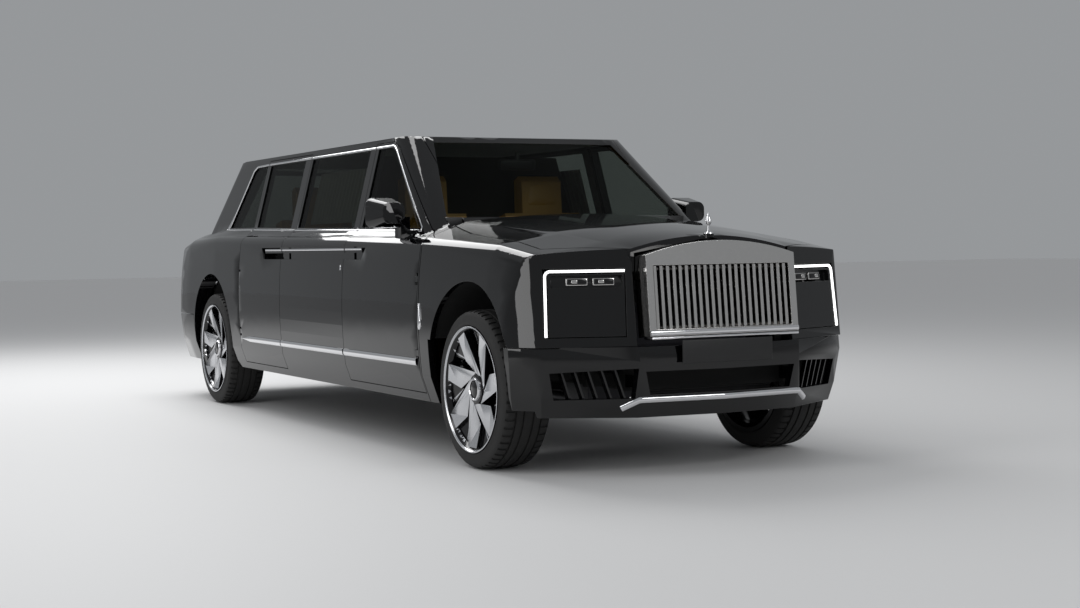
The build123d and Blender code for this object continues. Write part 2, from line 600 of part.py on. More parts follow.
with BuildPart() as vanes:
    pitch = 2 * OPEN_HALF / VANES
    with BuildSketch(grille_plane.offset(-12.0)):
        with Locations((0, (OPEN_LOW + OPEN_TOP) / 2 - GRILLE_LOW)):
            with GridLocations(pitch, 1, VANES, 1):
                Trapezoid(pitch * 0.5, OPEN_TOP - OPEN_LOW - 1.0, 90)
    extrude(amount=-60.0)
    with BuildSketch(grille_plane.offset(-60.0)):
        with Locations((0, 12.0 + OPEN_LOW - GRILLE_LOW), (0, OPEN_TOP - GRILLE_LOW - 12.0)):
            Rectangle(2 * OPEN_HALF - 1.0, 12.0)
    extrude(amount=-20.0)
save(vanes.part, "grille_vanes")
grille_hole = face_prism([(-GRILLE_HALF - 3, GRILLE_LOW - 3), (GRILLE_HALF + 3, GRILLE_LOW - 3),
                          (GRILLE_HALF + 3, 1088.0), (0, 1160.0), (-GRILLE_HALF - 3, 1088.0)],
                         front(-1000.0), front(-690.0))

bonnet = bonnet - grille_hole
save(keep(bonnet), "bonnet")
fenders = nose_skin & block(-1100, 1100, front(-1200.0), front(600.0), BUMPER_TOP + SEAM - 5.0, 1500.0)
fenders = fenders + (nose_skin & block(-1100, 1100, front(ARCH_R), front(600.0), SILL_Z, 700.0)
                     - block(-FLOOR_HALF, FLOOR_HALF, front(0.0), front(700.0), 200.0, 500.0))
bonnet_gap = plan_prism(bonnet_plan, 1000.0, 1500.0, BONNET_GAP)
rear_gap = block(-800.0, 800.0, BONNET_REAR_Y - 10.0, front(700.0), 700.0, 1500.0)
front_gap = block(-452.0, 452.0, front(-1000.0), BONNET_FRONT_Y + 10.0, 600.0, 1500.0)
for cut in (bonnet_gap, rear_gap, front_gap, arch_cut, lamp_holes, grille_hole):
    fenders = fenders - cut
save(keep(fenders), "front_fenders")

# The front bumper, as plan outlines from its lower lip to its top. Columns: height, place
# of the nose on the centre line, then half width and place of the face's end, the corner,
# the corner's back and the side.
FRONT_Y = front(-FRONT_OVERHANG)
BUMPER_LEVELS = [
    (SILL_Z + 2.0, front(-842.0), 455.0, front(-800.0), 850.0, front(-612.0),
     938.0, front(-480.0), 950.0, front(-300.0)),
    (395.0, front(-872.0), 460.0, front(-828.0), 868.0, front(-640.0),
     962.0, front(-505.0), 972.0, front(-300.0)),
    (570.0, FRONT_Y, 462.0, front(-842.0), 888.0, front(-664.0),
     978.0, front(-520.0), 984.0, front(-300.0)),
    (BUMPER_TOP, front(-888.0), 462.0, front(-838.0), 888.0, front(-660.0),
     980.0, front(-510.0), 986.0, front(-300.0)),
]
BUMPER_SKIN = 45.0


def bumper_form(inset):
    """The front bumper's outer form as one closed block, drawn in by inset."""
    with BuildPart() as form:
        for z, nose_y, x_face, y_face, x_turn, y_turn, x_back, y_back, x_side, y_side in BUMPER_LEVELS:
            with BuildSketch(Plane.XY.offset(z)):
                with BuildLine():
                    half = [(x_face, y_face + inset), (x_turn - inset / 2, y_turn + inset),
                            (x_back - inset, y_back + inset / 2), (x_side - inset, y_side)]
                    other = [(-x, y) for x, y in half]
                    Polyline((0, nose_y + inset), *half, *reversed(other), close=True)
                make_face()
        loft(ruled=True)
    return form.part


# Slanted bars stand in the side intakes, sunk behind the bumper's face.
SLATS, SLAT_THICK, SLAT_LEAN, SLAT_SUNK = 5, 9.0, 26.0, 12.0
INTAKE_IN, INTAKE_OUT, INTAKE_LOW, INTAKE_TOP = 478.0, 812.0, 392.0, 536.0
sunk_skin = bumper_form(SLAT_SUNK) - bumper_form(BUMPER_SKIN)
bumper = bumper_form(0.0) - (bumper_form(BUMPER_SKIN) - block(-1100, 1100, front(-2000), front(700), 600.0, 700.0))
bumper = bumper - block(-1100, 1100, front(-700.0), front(0.0), 580.0, 700.0)
bumper = bumper - block(-1100, 1100, front(-590.0), front(0.0), 200.0, 330.0)
bumper = bumper - arch_cut - face_prism([(-405.0, 408.0), (405.0, 408.0), (430.0, 520.0), (-430.0, 520.0)],
                                        front(-1000.0), front(-700.0))
STAY_Z0, STAY_Z1, SUPPORT_Y = 440.0, 500.0, front(-700.0)
for s in (1, -1):
    mouth = [(s * INTAKE_IN, INTAKE_LOW), (s * INTAKE_OUT, INTAKE_LOW - 6.0),
             (s * (INTAKE_OUT + 26.0), INTAKE_TOP - 20.0), (s * (INTAKE_IN - 12.0), INTAKE_TOP)]
    bumper = bumper - face_prism(mouth, front(-1000.0), front(-560.0))
    for k in range(1, SLATS + 1):
        x = INTAKE_IN + (INTAKE_OUT - INTAKE_IN) * k / (SLATS + 1)
        foot, head = x - SLAT_LEAN, x + SLAT_LEAN
        slat = face_prism([(s * foot, INTAKE_LOW - 12.0), (s * (foot + SLAT_THICK), INTAKE_LOW - 12.0),
                           (s * (head + SLAT_THICK), INTAKE_TOP + 4.0), (s * head, INTAKE_TOP + 4.0)],
                          front(-1000.0), front(-560.0))
        bumper = bumper + (sunk_skin & slat)
    bumper = bumper + block(s * 436.0, s * 466.0, front(-815.0), SUPPORT_Y - SEAT_GAP, STAY_Z0, STAY_Z1)
save(keep(bumper), "front_bumper")


# Tail: lamps and bumper
RIM_DEPTH = 40.0
tail_skin = body_outer - body_form(TAIL_SKIN)
lamp_rim = body_form(RIM_DEPTH) - body_form(TAIL_SKIN)
tail_lamps = []
for s in (1, -1):
    shape = [(s * x, z) for x, z in lamp_outline]
    lens = tail_skin & face_prism(shape, rear(800.0), rear(1400.0))
    rim = lamp_rim & face_prism(lamp_grown(s, 2.7), rear(800.0), rear(1400.0))
    tail_lamps += list((lens + rim).solids())
save(Compound(children=tail_lamps), "tail_lamps")
rear_bumper = tail_skin & block(-1100, 1100, rear(ARCH_R), rear(1400.0), SILL_Z, BUMPER_TOP)
rear_bumper = rear_bumper - block(-860, 860, rear(ARCH_R - 10.0), rear(900.0), 200.0, 400.0) - arch_cut
for s in (1, -1):
    rear_bumper = rear_bumper - block(s * 490.0, s * 650.0, rear(860.0), rear(1300.0), 200.0, 330.0)
save(keep(rear_bumper), "rear_bumper")

# Floor, bulkhead, rails and wheel housings
FLOOR_LOW, FLOOR_TOP = 335.0, 405.0
BULK_Y0, BULK_Y1 = front(500.0), front(555.0)
KICK_Y = rear(-520.0)
REAR_FLOOR_Z = 655.0
with BuildPart() as under:
    add(block(-470.0, 470.0, SUPPORT_Y, SUPPORT_Y + 40.0, 420.0, 520.0))
    add(block(-450.0, 450.0, SUPPORT_Y, SUPPORT_Y + 40.0, 850.0, 910.0))
    add(block(-FLOOR_HALF + 1, FLOOR_HALF - 1, BULK_Y0, BULK_Y1, FLOOR_LOW, 1130.0))
    add(block(-FLOOR_HALF + 1, FLOOR_HALF - 1, KICK_Y, KICK_Y + 30.0, FLOOR_LOW, REAR_FLOOR_Z))
    add(block(-560.0, 560.0, KICK_Y, rear(480.0), REAR_FLOOR_Z - 30.0, REAR_FLOOR_Z))
    add(block(-820.0, 820.0, rear(480.0), rear(760.0), REAR_FLOOR_Z - 30.0, REAR_FLOOR_Z))
    add(block(-700.0, 700.0, rear(760.0), rear(960.0), REAR_FLOOR_Z - 30.0, REAR_FLOOR_Z))
    for s in (1, -1):
        add(block(s * 350.0, s * 440.0, front(-700.0), BULK_Y0, 420.0, 520.0))
        add(block(s * 480.0, s * 560.0, KICK_Y, rear(960.0), 560.0, REAR_FLOOR_Z - 30.0))
        add(block(s * 410.0, s * 450.0, SUPPORT_Y, SUPPORT_Y + 40.0, 420.0, 1200.0) & skin_fit)
        add(block(s * 350.0, s * 625.0, front(-596.0), front(-560.0), 440.0, 500.0))
        add(block(s * 570.0, s * 625.0, front(-596.0), front(-560.0), 440.0, 800.0))
        add(block(s * 480.0, s * 560.0, rear(950.0), rear(1160.0), 560.0, 625.0) & tail_fit)
        add(block(s * 480.0, s * 560.0, rear(700.0), rear(1160.0), 640.0, 668.0) & wall_fit)
        for y, x_in in ((FRONT_AXLE, WELL_IN_FRONT), (REAR_AXLE, WELL_IN_REAR)):
            ring = along_x(ARCH_R + 15.0 + LINER, s * (x_in - LINER), s * 850.0, y, ARCH_Z)
            hole = along_x(ARCH_R + 15.0, s * x_in, s * 1000.0, y, ARCH_Z)
            low = block(-1100.0, 1100.0, y - 700.0, y + 700.0, 200.0, ARCH_Z)
            add(ring - hole - low)
        y = FRONT_AXLE
        rim_band = along_x(ARCH_R + 15.0 + LINER, s * 840.0, s * 1000.0, y, ARCH_Z)
        rim_hole = along_x(ARCH_R + 15.0, s * 800.0, s * 1100.0, y, ARCH_Z)
        low = block(-1100.0, 1100.0, y - 700.0, y + 700.0, 200.0, BUMPER_TOP + SEAM)
        add((rim_band - rim_hole - low) & skin_fit)
for s in (1, -1):
    window = block(s * (WELL_IN_FRONT - LINER - 5.0), s * (WELL_IN_FRONT + 5.0), front(-70.0), front(70.0), 580.0, 645.0)
    under_part = (under.part if s == 1 else under_part) - window
under_part = under_part & (body_form(4.0) + greenhouse_form(4.0))
cowl_fit = wall_fit + greenhouse_form(ROOF_WALL + SEAT_GAP)
for s in (1, -1):
    under_part = under_part + (block(s * 560.0, s * 600.0, front(520.0), front(609.5), 1100.0, 1270.0) & cowl_fit)
for lamp_side in (lamp_post, mirror(lamp_post, about=Plane.YZ)):
    under_part = under_part + lamp_side
save(keep(under_part), "underbody")
with BuildPart() as floor_pan:
    add(block(-FLOOR_HALF + 1, FLOOR_HALF - 1, BULK_Y1 + SEAT_GAP, KICK_Y - SEAT_GAP, FLOOR_LOW, FLOOR_TOP))
save(floor_pan.part, "floor_pan")

cowl = wall & block(-670.0, 670.0, BONNET_REAR_Y + 6.0, front(955.0), 1135.0, 1291.0)
save(keep(cowl), "cowl")

# Cabin fittings
with BuildPart() as dash:
    with BuildSketch(Plane.YZ.offset(-832.0)):
        with BuildLine():
            Polyline((BULK_Y1 + SEAT_GAP, 800.0), (front(960.0), 800.0), (front(1010.0), 900.0),
                     (front(1000.0), 1130.0), (front(900.0), 1185.0), (front(680.0), 1195.0),
                     (front(610.0), 1180.0), (front(610.0), 1060.0), (BULK_Y1 + SEAT_GAP, 1040.0),
                     close=True)
        make_face()
    extrude(amount=1664.0)
    with BuildSketch(Plane.XZ.offset(-front(960.0))):
        with Locations((0, 640.0)):
            RectangleRounded(300.0, 330.0, 20.0)
    extrude(amount=400.0)
dashboard = dash.part & cabin_fit
for s in (1, -1):
    dashboard = dashboard - block(s * 815.0, s * 1100.0, front(0.0), front(765.0), 700.0, 1300.0)
    dashboard = dashboard - block(s * 650.0, s * 1100.0, front(0.0), front(930.0), 1136.0, 1300.0)
dashboard = keep(dashboard)
save(dashboard, "dashboard")

WHEEL_X, WHEEL_Y, WHEEL_Z, WHEEL_RAKE = -400.0, front(1150.0), 1010.0, 25.0
steer_plane = Plane(origin=(WHEEL_X, WHEEL_Y, WHEEL_Z), x_dir=(1, 0, 0),
                    z_dir=(0, cos(radians(WHEEL_RAKE)), sin(radians(WHEEL_RAKE))))
with BuildPart() as steering:
    with BuildSketch(Plane(origin=steer_plane.origin, x_dir=(1, 0, 0), z_dir=steer_plane.y_dir)):
        with Locations((185.0, 0)):
            Circle(15.0)
    revolve(axis=Axis(steer_plane.origin, steer_plane.z_dir), revolution_arc=360)
    with BuildSketch(steer_plane.offset(-25.0)):
        Circle(65.0)
    extrude(amount=35.0)
    with BuildSketch(steer_plane.offset(-10.0)):
        Rectangle(370.0, 26.0)
        with Locations((0, -92.0)):
            Rectangle(30.0, 184.0)
    extrude(amount=14.0)
    with BuildSketch(steer_plane.offset(-25.0)):
        Circle(32.0)
    extrude(amount=-120.0)
save(steering.part - dashboard, "steering_wheel")

SEAT_HALF, SEAT_X = 265.0, 400.0


def seat(x, y, base_z, facing=1):
    """One armchair: plinth, cushion, back and headrest in a single form, in side profile."""
    with BuildPart() as chair:
        with BuildSketch(Plane.YZ.offset(x - SEAT_HALF)):
            with BuildLine():
                Polyline((y + 40.0, base_z), (y + 500.0, base_z), (y + 520.0, base_z + 150.0),
                         (y + 640.0, base_z + 380.0), (y + 760.0, base_z + 900.0),
                         (y + 640.0, base_z + 930.0), (y + 500.0, base_z + 400.0),
                         (y + 20.0, base_z + 375.0), (y, base_z + 250.0), (y + 60.0, base_z + 170.0),
                         close=True)
            make_face()
        extrude(amount=2 * SEAT_HALF)
        with BuildSketch(Plane.YZ.offset(x - 140.0)):
            with BuildLine():
                Polyline((y + 640.0, base_z + 925.0), (y + 655.0, base_z + 1130.0),
                         (y + 700.0, base_z + 1165.0), (y + 760.0, base_z + 1140.0),
                         (y + 755.0, base_z + 895.0), close=True)
            make_face()
        extrude(amount=280.0)
    return chair.part


seats = [seat(s * SEAT_X, front(1180.0), FLOOR_TOP + 0.3) for s in (1, -1)]
save(Compound(children=seats), "front_seats")
rear_seats = [seat(s * SEAT_X, rear(-1330.0), FLOOR_TOP + 0.3) for s in (1, -1)]
save(Compound(children=rear_seats), "rear_seats")
PARTITION_Y = front(2080.0)
with BuildPart() as partition:
    add(block(-798.0, 798.0, PARTITION_Y, PARTITION_Y + 40.0, FLOOR_TOP + 0.3, 1150.0))
    add(face_prism([(-798.0, 1150.0), (798.0, 1150.0), (640.0, 1700.0), (-640.0, 1700.0)],
                   PARTITION_Y, PARTITION_Y + 25.0))
save(partition.part, "partition")

# Engine mass, propshaft, exhaust
with BuildPart() as engine:
    add(block(-330.0, 330.0, front(-560.0), front(410.0), 430.0, 930.0))
    add(block(-350.0 + SEAT_GAP, 350.0 - SEAT_GAP, front(-60.0), front(0.0), 440.0, 500.0))
save(engine.part, "engine_block")
with BuildPart() as shaft:
    add(along_y(38.0, 0.0, 294.0, front(300.0), rear(-175.0)))
    add(block(-110.0, 110.0, front(250.0), front(470.0), 255.0, 430.0 - SEAT_GAP))
save(shaft.part, "propshaft")
with BuildPart() as exhaust:
    for s in (1, -1):
        add(along_y(30.0, s * 230.0, 300.0, front(300.0), rear(560.0)))
        add(along_y(26.0, s * 230.0, 300.0, rear(820.0), rear(870.0)))
        add(block(s * 204.0, s * 560.0, rear(840.0), rear(892.0), 275.0, 326.0))
        add(block(s * 500.0, s * 640.0, rear(850.0), rear(1085.0), 262.0, 318.0))
        for y in (front(1500.0), rear(-1500.0)):
            add(block(s * 215.0, s * 245.0, y, y + 30.0, 320.0, FLOOR_LOW - SEAT_GAP))
    add(block(-420.0, 420.0, rear(550.0), rear(830.0), 262.0, 420.0))
save(exhaust.part, "exhaust")

# Front suspension: crossmember, arms with ball-joint eyes, dampers
KINGPIN_X, PIN_R, PIN_PLAY = 790.0, 12.0, 0.05
LOWER_ARM_Z, UPPER_ARM_Z, ARM_T = 240.0, 600.0, 22.0
with BuildPart() as front_susp:
    add(block(-360.0, 360.0, front(-130.0), front(130.0), 330.0, 420.0 - SEAT_GAP))
    for s in (1, -1):
        add(block(s * 330.0, s * KINGPIN_X, front(-24.0), front(24.0), LOWER_ARM_Z, LOWER_ARM_Z + ARM_T))
        add(block(s * 300.0, s * 360.0, front(-60.0), front(60.0), LOWER_ARM_Z, 331.0))
        add(upright(28.0, s * KINGPIN_X, FRONT_AXLE, LOWER_ARM_Z, LOWER_ARM_Z + ARM_T))
        add(block(s * 380.0, s * 440.0, front(-60.0), front(60.0), 520.3, 700.0))
        add(block(s * 430.0, s * KINGPIN_X, front(-20.0), front(20.0), UPPER_ARM_Z, UPPER_ARM_Z + ARM_T))
        add(upright(28.0, s * KINGPIN_X, FRONT_AXLE, UPPER_ARM_Z, UPPER_ARM_Z + ARM_T))
        add(upright(36.0, s * 545.0, FRONT_AXLE, LOWER_ARM_Z + 5.0, 640.0))
    for s in (1, -1):
        add(upright(PIN_R + PIN_PLAY, s * KINGPIN_X, FRONT_AXLE, 200.0, 700.0), mode=Mode.SUBTRACT)
save(keep(front_susp.part), "front_suspension")

# Hub carriers, discs and calipers
SPINDLE_R, HUB_R = 24.0, 74.0
DISC_R, DISC_X0, DISC_X1 = 205.0, 835.0, 867.0
CALIPER_GAP, CALIPER_OUT_X = 7.0, 890.0


def carrier(s, y, steered):
    """A hub carrier with its spindle and brake caliper, on one side of one axle."""
    lift = TYRE_R
    with BuildPart() as body:
        add(block(s * 750.0, s * 812.0, y - 45.0, y + 45.0, LOWER_ARM_Z + ARM_T + 6.0, UPPER_ARM_Z - 6.0))
        add(along_x(70.0, min(s * 750.0, s * 828.0), max(s * 750.0, s * 828.0), y, lift))
        add(along_x(SPINDLE_R, min(s * 800.0, s * 905.0), max(s * 800.0, s * 905.0), y, lift))
        add(block(s * 765.0, s * CALIPER_OUT_X, y + 150.0, y + 232.0, lift - 70.0, lift + 70.0))
        add(block(s * 765.0, s * 812.0, y + 20.0, y + 180.0, lift - 40.0, lift + 40.0))
        add(block(s * (DISC_X0 - CALIPER_GAP), s * (DISC_X1 + CALIPER_GAP), y + 100.0, y + 214.0,
                  lift - 100.0, lift + 100.0), mode=Mode.SUBTRACT)
        if steered:
            add(upright(PIN_R, s * KINGPIN_X, y, LOWER_ARM_Z + 1.0, LOWER_ARM_Z + ARM_T + 10.0))
            add(upright(PIN_R, s * KINGPIN_X, y, UPPER_ARM_Z - 10.0, UPPER_ARM_Z + ARM_T - 1.0))
    return body.part


for name, side in SIDES:
    save(carrier(side, FRONT_AXLE, True), f"front_knuckle_{name}")
with BuildPart() as rear_axle:
    add(block(-430.0, 430.0, rear(-200.0), rear(200.0), 350.0, 400.0))
    add(block(-150.0, 150.0, rear(-170.0), rear(170.0), 352.0, 540.0))
    for s in (1, -1):
        add(carrier(s, REAR_AXLE, False))
        add(block(s * 400.0, s * 760.0, rear(-30.0), rear(30.0), 350.0, 385.0))
        add(block(s * 400.0, s * 560.0, rear(-160.0), rear(-120.0), 350.0, 560.0 - SEAT_GAP))
        add(along_x(24.0, min(s * 120.0, s * 760.0), max(s * 120.0, s * 760.0), REAR_AXLE, TYRE_R + 30.0))
save(keep(rear_axle.part), "rear_axle")

SPINDLE_CAP_X = 940.0

# Wheels: seven folded blades between a hub and the rim barrel. Each blade is three flat
# facets that meet in folds, beside a sunk pocket. Columns: turn round the wheel from the
# blade's leading channel in degrees, radius, height out from the middle plane.
BLADES = 7
RIM_LEAD = (3.0, 300.0, 962.0)
RIM_POCKET = (20.0, 300.0, 958.0)
POCKET_APEX = (28.0, 182.0, 936.0)
HUB_TRAIL = (-20.0, 84.0, 926.0)
HUB_LEAD = (-70.0, 84.0, 932.0)
RIM_TRAIL = (46.0, 300.0, 952.0)
FACETS = [(RIM_LEAD, RIM_POCKET, POCKET_APEX), (RIM_LEAD, POCKET_APEX, HUB_LEAD),
          (POCKET_APEX, HUB_TRAIL, HUB_LEAD)]
POCKET = (RIM_POCKET, RIM_TRAIL, POCKET_APEX)
POCKET_SUNK, BLADE_DEEP, POCKET_DEEP = 18.0, 34.0, 14.0
BLADE_ROOT_R = 90.0


def on_wheel(spot, sunk=0.0):
    """A point of the left wheel, about its hub, from a turn, a radius and a height."""
    turn, radius, height = spot
    return (height - sunk, -radius * cos(radians(turn)), radius * sin(radians(turn)))


def folded(spots, sunk, deep):
    """A three-cornered facet carried straight inwards."""
    face = Face(Wire.make_polygon([on_wheel(s, sunk) for s in spots], close=True))
    with BuildPart() as plate:
        extrude(face, amount=deep, dir=(-1, 0, 0))
    return plate.part


with BuildPart() as blade:
    for spots in FACETS:
        add(folded(spots, 0.0, BLADE_DEEP))
    add(folded(POCKET, POCKET_SUNK, POCKET_DEEP))
with BuildPart() as left_rim:
    with BuildSketch(Plane.XY):
        with BuildLine():
            face_x, back_x = WHEEL_FACE_X, WHEEL_FACE_X - TYRE_W
            Polyline((face_x, RIM_R), (face_x - 10.0, RIM_R), (face_x - 18.0, BEAD_R),
                     (face_x - 95.0, BEAD_R), (face_x - 110.0, BEAD_R - 22.0),
                     (back_x + 60.0, BEAD_R - 22.0), (back_x + 40.0, BEAD_R), (back_x + 18.0, BEAD_R),
                     (back_x + 10.0, RIM_R), (back_x, RIM_R), (back_x, BEAD_R - 10.0),
                     (back_x + 20.0, BEAD_R - 32.0), (face_x - 90.0, BEAD_R - 32.0),
                     (face_x - 70.0, BEAD_R - 12.0), (face_x - 30.0, BEAD_R - 12.0),
                     (face_x - 6.0, RIM_R - 12.0), (face_x, RIM_R - 6.0), close=True)
        make_face()
    revolve(axis=Axis.X, revolution_arc=360)
    for k in range(BLADES):
        add(blade.part.rotate(Axis.X, -k * 360.0 / BLADES))
    with BuildSketch(Plane.YZ.offset(DISC_X1 + 2.0)):
        Circle(HUB_R)
    extrude(amount=SPINDLE_CAP_X - DISC_X1 - 2.0)
    with BuildSketch(Plane.YZ.offset(902.0)):
        Circle(BLADE_ROOT_R)
    extrude(amount=22.0)
    with BuildSketch(Plane.YZ.offset(DISC_X0)):
        Circle(DISC_R)
    extrude(amount=DISC_X1 - DISC_X0 + 3.0)
    with BuildSketch(Plane.YZ.offset(800.0)):
        Circle(SPINDLE_R + PIN_PLAY)
    extrude(amount=110.0, mode=Mode.SUBTRACT)
with BuildPart() as left_tyre:
    with BuildSketch(Plane.XY):
        with BuildLine():
            out_x, in_x = WHEEL_FACE_X, WHEEL_FACE_X - TYRE_W
            Polyline((out_x - 11.0, RIM_R + 1.0), (out_x - 1.0, RIM_R + 22.0),
                     (out_x - 8.0, TYRE_R - 18.0), (out_x - 34.0, TYRE_R), (in_x + 34.0, TYRE_R),
                     (in_x + 8.0, TYRE_R - 18.0), (in_x + 1.0, RIM_R + 22.0),
                     (in_x + 11.0, RIM_R + 1.0), (in_x + 19.0, BEAD_R + 1.0),
                     (in_x + 32.0, BEAD_R + 2.0), (in_x + 22.0, RIM_R + 25.0),
                     (in_x + 40.0, TYRE_R - 22.0), (out_x - 40.0, TYRE_R - 22.0),
                     (out_x - 22.0, RIM_R + 25.0), (out_x - 32.0, BEAD_R + 2.0),
                     (out_x - 19.0, BEAD_R + 1.0), close=True)
        make_face()
    revolve(axis=Axis.X, revolution_arc=360)
for axle_name, y in (("front", FRONT_AXLE), ("rear", REAR_AXLE)):
    for name, side in SIDES:
        for kind, shape in (("rim", left_rim.part), ("tyre", left_tyre.part)):
            handed = shape if side == 1 else mirror(shape, about=Plane.YZ)
            save(keep(Pos(0, y, TYRE_R) * handed), f"{kind}_{axle_name}_{name}")

# Bonnet finial: a plain turned drop on a small round foot
with BuildPart() as finial:
    with BuildSketch(Plane.XZ.offset(-FINIAL_Y)):
        with BuildLine():
            foot = FINIAL_FOOT_Z
            Polyline((0, foot), (24.0, foot), (22.0, foot + 6.0), (8.0, foot + 13.0), (6.0, foot + 40.0),
                     (15.0, foot + 56.0), (16.0, foot + 64.0), (10.0, foot + 82.0), (2.0, foot + 103.0),
                     (0.0, foot + 103.0), close=True)
        make_face()
    revolve(axis=Axis((0, FINIAL_Y, 0), (0, 0, 1)), revolution_arc=360)
save(finial.part, "bonnet_finial")

# Door mirrors: a rounded head on a foot that stands on the door's shoulder
MIRROR_Y0, MIRROR_Y1 = front(935.0), front(1105.0)
for name, side in SIDES:
    with BuildPart() as mirror_head:
        with BuildSketch(Plane.XZ.offset(-MIRROR_Y1)):
            with Locations((side * 990.0, 1325.0)):
                RectangleRounded(194.0, 170.0, 45.0)
        with BuildSketch(Plane.XZ.offset(-MIRROR_Y0)):
            with Locations((side * 984.0, 1322.0)):
                RectangleRounded(130.0, 116.0, 40.0)
        loft()
        add(block(side * 880.0, side * 935.0, front(955.0), front(1045.0), 1180.0, 1300.0))
    head = mirror_head.part - outer
    save(max(head.solids(), key=lambda piece: piece.volume), f"mirror_{name}")
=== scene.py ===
# %% [markdown]
# A stretch limousine, dressed for its portrait. The solids come packed from the part's own
# source, and everything here is measured in metres in their frame: the car faces -Y, its
# right side is -X, and the ground is at Z 0. We start by loading the solids.

# %% Load the solids
import json
import math

import bmesh
import bpy
from mathutils import Matrix, Vector
from mathutils.bvhtree import BVHTree


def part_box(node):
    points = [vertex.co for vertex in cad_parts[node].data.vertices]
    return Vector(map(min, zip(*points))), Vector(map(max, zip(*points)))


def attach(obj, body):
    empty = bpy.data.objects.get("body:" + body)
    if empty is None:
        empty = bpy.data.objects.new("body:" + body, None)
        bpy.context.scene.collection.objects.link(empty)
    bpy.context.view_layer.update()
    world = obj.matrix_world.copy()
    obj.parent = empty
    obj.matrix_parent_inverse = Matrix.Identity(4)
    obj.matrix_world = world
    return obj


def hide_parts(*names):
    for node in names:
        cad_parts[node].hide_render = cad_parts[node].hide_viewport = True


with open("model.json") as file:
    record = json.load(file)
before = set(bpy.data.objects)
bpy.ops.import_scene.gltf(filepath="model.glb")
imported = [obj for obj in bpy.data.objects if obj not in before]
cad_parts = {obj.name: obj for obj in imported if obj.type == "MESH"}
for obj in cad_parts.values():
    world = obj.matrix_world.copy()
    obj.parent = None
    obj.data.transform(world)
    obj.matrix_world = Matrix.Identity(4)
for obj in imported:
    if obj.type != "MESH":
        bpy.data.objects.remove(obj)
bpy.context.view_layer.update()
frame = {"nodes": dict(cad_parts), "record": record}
body_of_node = {n: b for b, ns in frame["record"]["behaviour"]["bodies"].items() for n in ns}
slot_of_node = {s["node"]: s["material_slot"] for s in frame["record"]["subparts"]}


def rounded(point):
    """A point's three measures to the millimetre, for printing."""
    return [round(v, 3) for v in point]


# %% [markdown]
# Long cars are placed by their axles. The solids tell us where those are: the middle of
# each tyre. Every later measure along the car is written as a distance behind one of them.

# %% Where the axles are
SIDES = (("left", 1), ("right", -1))
tyre_low, tyre_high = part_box("tyre_front_left")
FRONT_AXLE = (tyre_low[1] + tyre_high[1]) / 2
TYRE_R = (tyre_high[1] - tyre_low[1]) / 2
tyre_low, tyre_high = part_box("tyre_rear_left")
REAR_AXLE = (tyre_low[1] + tyre_high[1]) / 2
WHEEL_FACE = tyre_high[0]


def front(mm):
    """A place along the car, in metres, from millimetres behind the front axle."""
    return FRONT_AXLE + mm / 1000


def rear(mm):
    """A place along the car, in metres, from millimetres behind the rear axle."""
    return REAR_AXLE + mm / 1000


print("axles at", round(FRONT_AXLE, 4), round(REAR_AXLE, 4), "tyre radius", round(TYRE_R, 4))

# %% [markdown]
# The camera stands low beside the car's front right corner, about eight metres off, as the
# photographer did. Its place and turn came from points of the car that are symmetric, such
# as both ends of the grille and the lamps, so that both sides of the nose agree.

# %% Camera
CAMERA_PLACE = Vector((-4.617, front(-7880.0), 1.136))
YAW, PITCH, ROLL = math.radians(27.22), math.radians(-1.99), math.radians(-0.86)
SENSOR_MM, FOCAL_PIXELS, PICTURE_PIXELS = 36.0, 1713.0, 1080.0
ahead = Vector((math.sin(YAW) * math.cos(PITCH), math.cos(YAW) * math.cos(PITCH), math.sin(PITCH)))
level = Vector((math.cos(YAW), -math.sin(YAW), 0.0))
up = level.cross(ahead)
right = level * math.cos(ROLL) + up * math.sin(ROLL)
top = up * math.cos(ROLL) - level * math.sin(ROLL)
camera = bpy.data.objects.new("camera", bpy.data.cameras.new("camera"))
bpy.context.scene.collection.objects.link(camera)
turn = Matrix((right, top, -ahead)).transposed()
camera.matrix_world = Matrix.Translation(CAMERA_PLACE) @ turn.to_4x4()
camera.data.sensor_width = SENSOR_MM
camera.data.lens = FOCAL_PIXELS / PICTURE_PIXELS * SENSOR_MM
camera.data.clip_end = 200.0
bpy.context.scene.camera = camera
print("lens", round(camera.data.lens, 1), "mm")

# %% [markdown]
# Materials are node trees. One small function adds a node, sets its sockets and makes its
# links, so that each material reads as a short list. Colours are written as the hex values
# that a painter would pick on screen, and one function turns them to the linear values
# that light is computed in.

# %% Colour and node helpers
def linear(hex_code):
    """An sRGB hex colour as linear red, green, blue and alpha."""
    parts = [int(hex_code[i:i + 2], 16) / 255 for i in (1, 3, 5)]
    return [c / 12.92 if c <= 0.04045 else ((c + 0.055) / 1.055) ** 2.4 for c in parts] + [1.0]


def add_node(tree, kind, sockets=None, links=None, **settings):
    """Adds a node; sockets holds values by input name, links holds other nodes' outputs."""
    made = tree.nodes.new(kind)
    for name, value in settings.items():
        setattr(made, name, value)
    for name, value in (sockets or {}).items():
        made.inputs[name].default_value = value
    for name, output in (links or {}).items():
        tree.links.new(output, made.inputs[name])
    return made


def start_material(name):
    """A new material with an empty tree and its output node."""
    material = bpy.data.materials.new(name)
    material.use_nodes = True
    tree = material.node_tree
    tree.nodes.clear()
    return material, tree, add_node(tree, "ShaderNodeOutputMaterial")


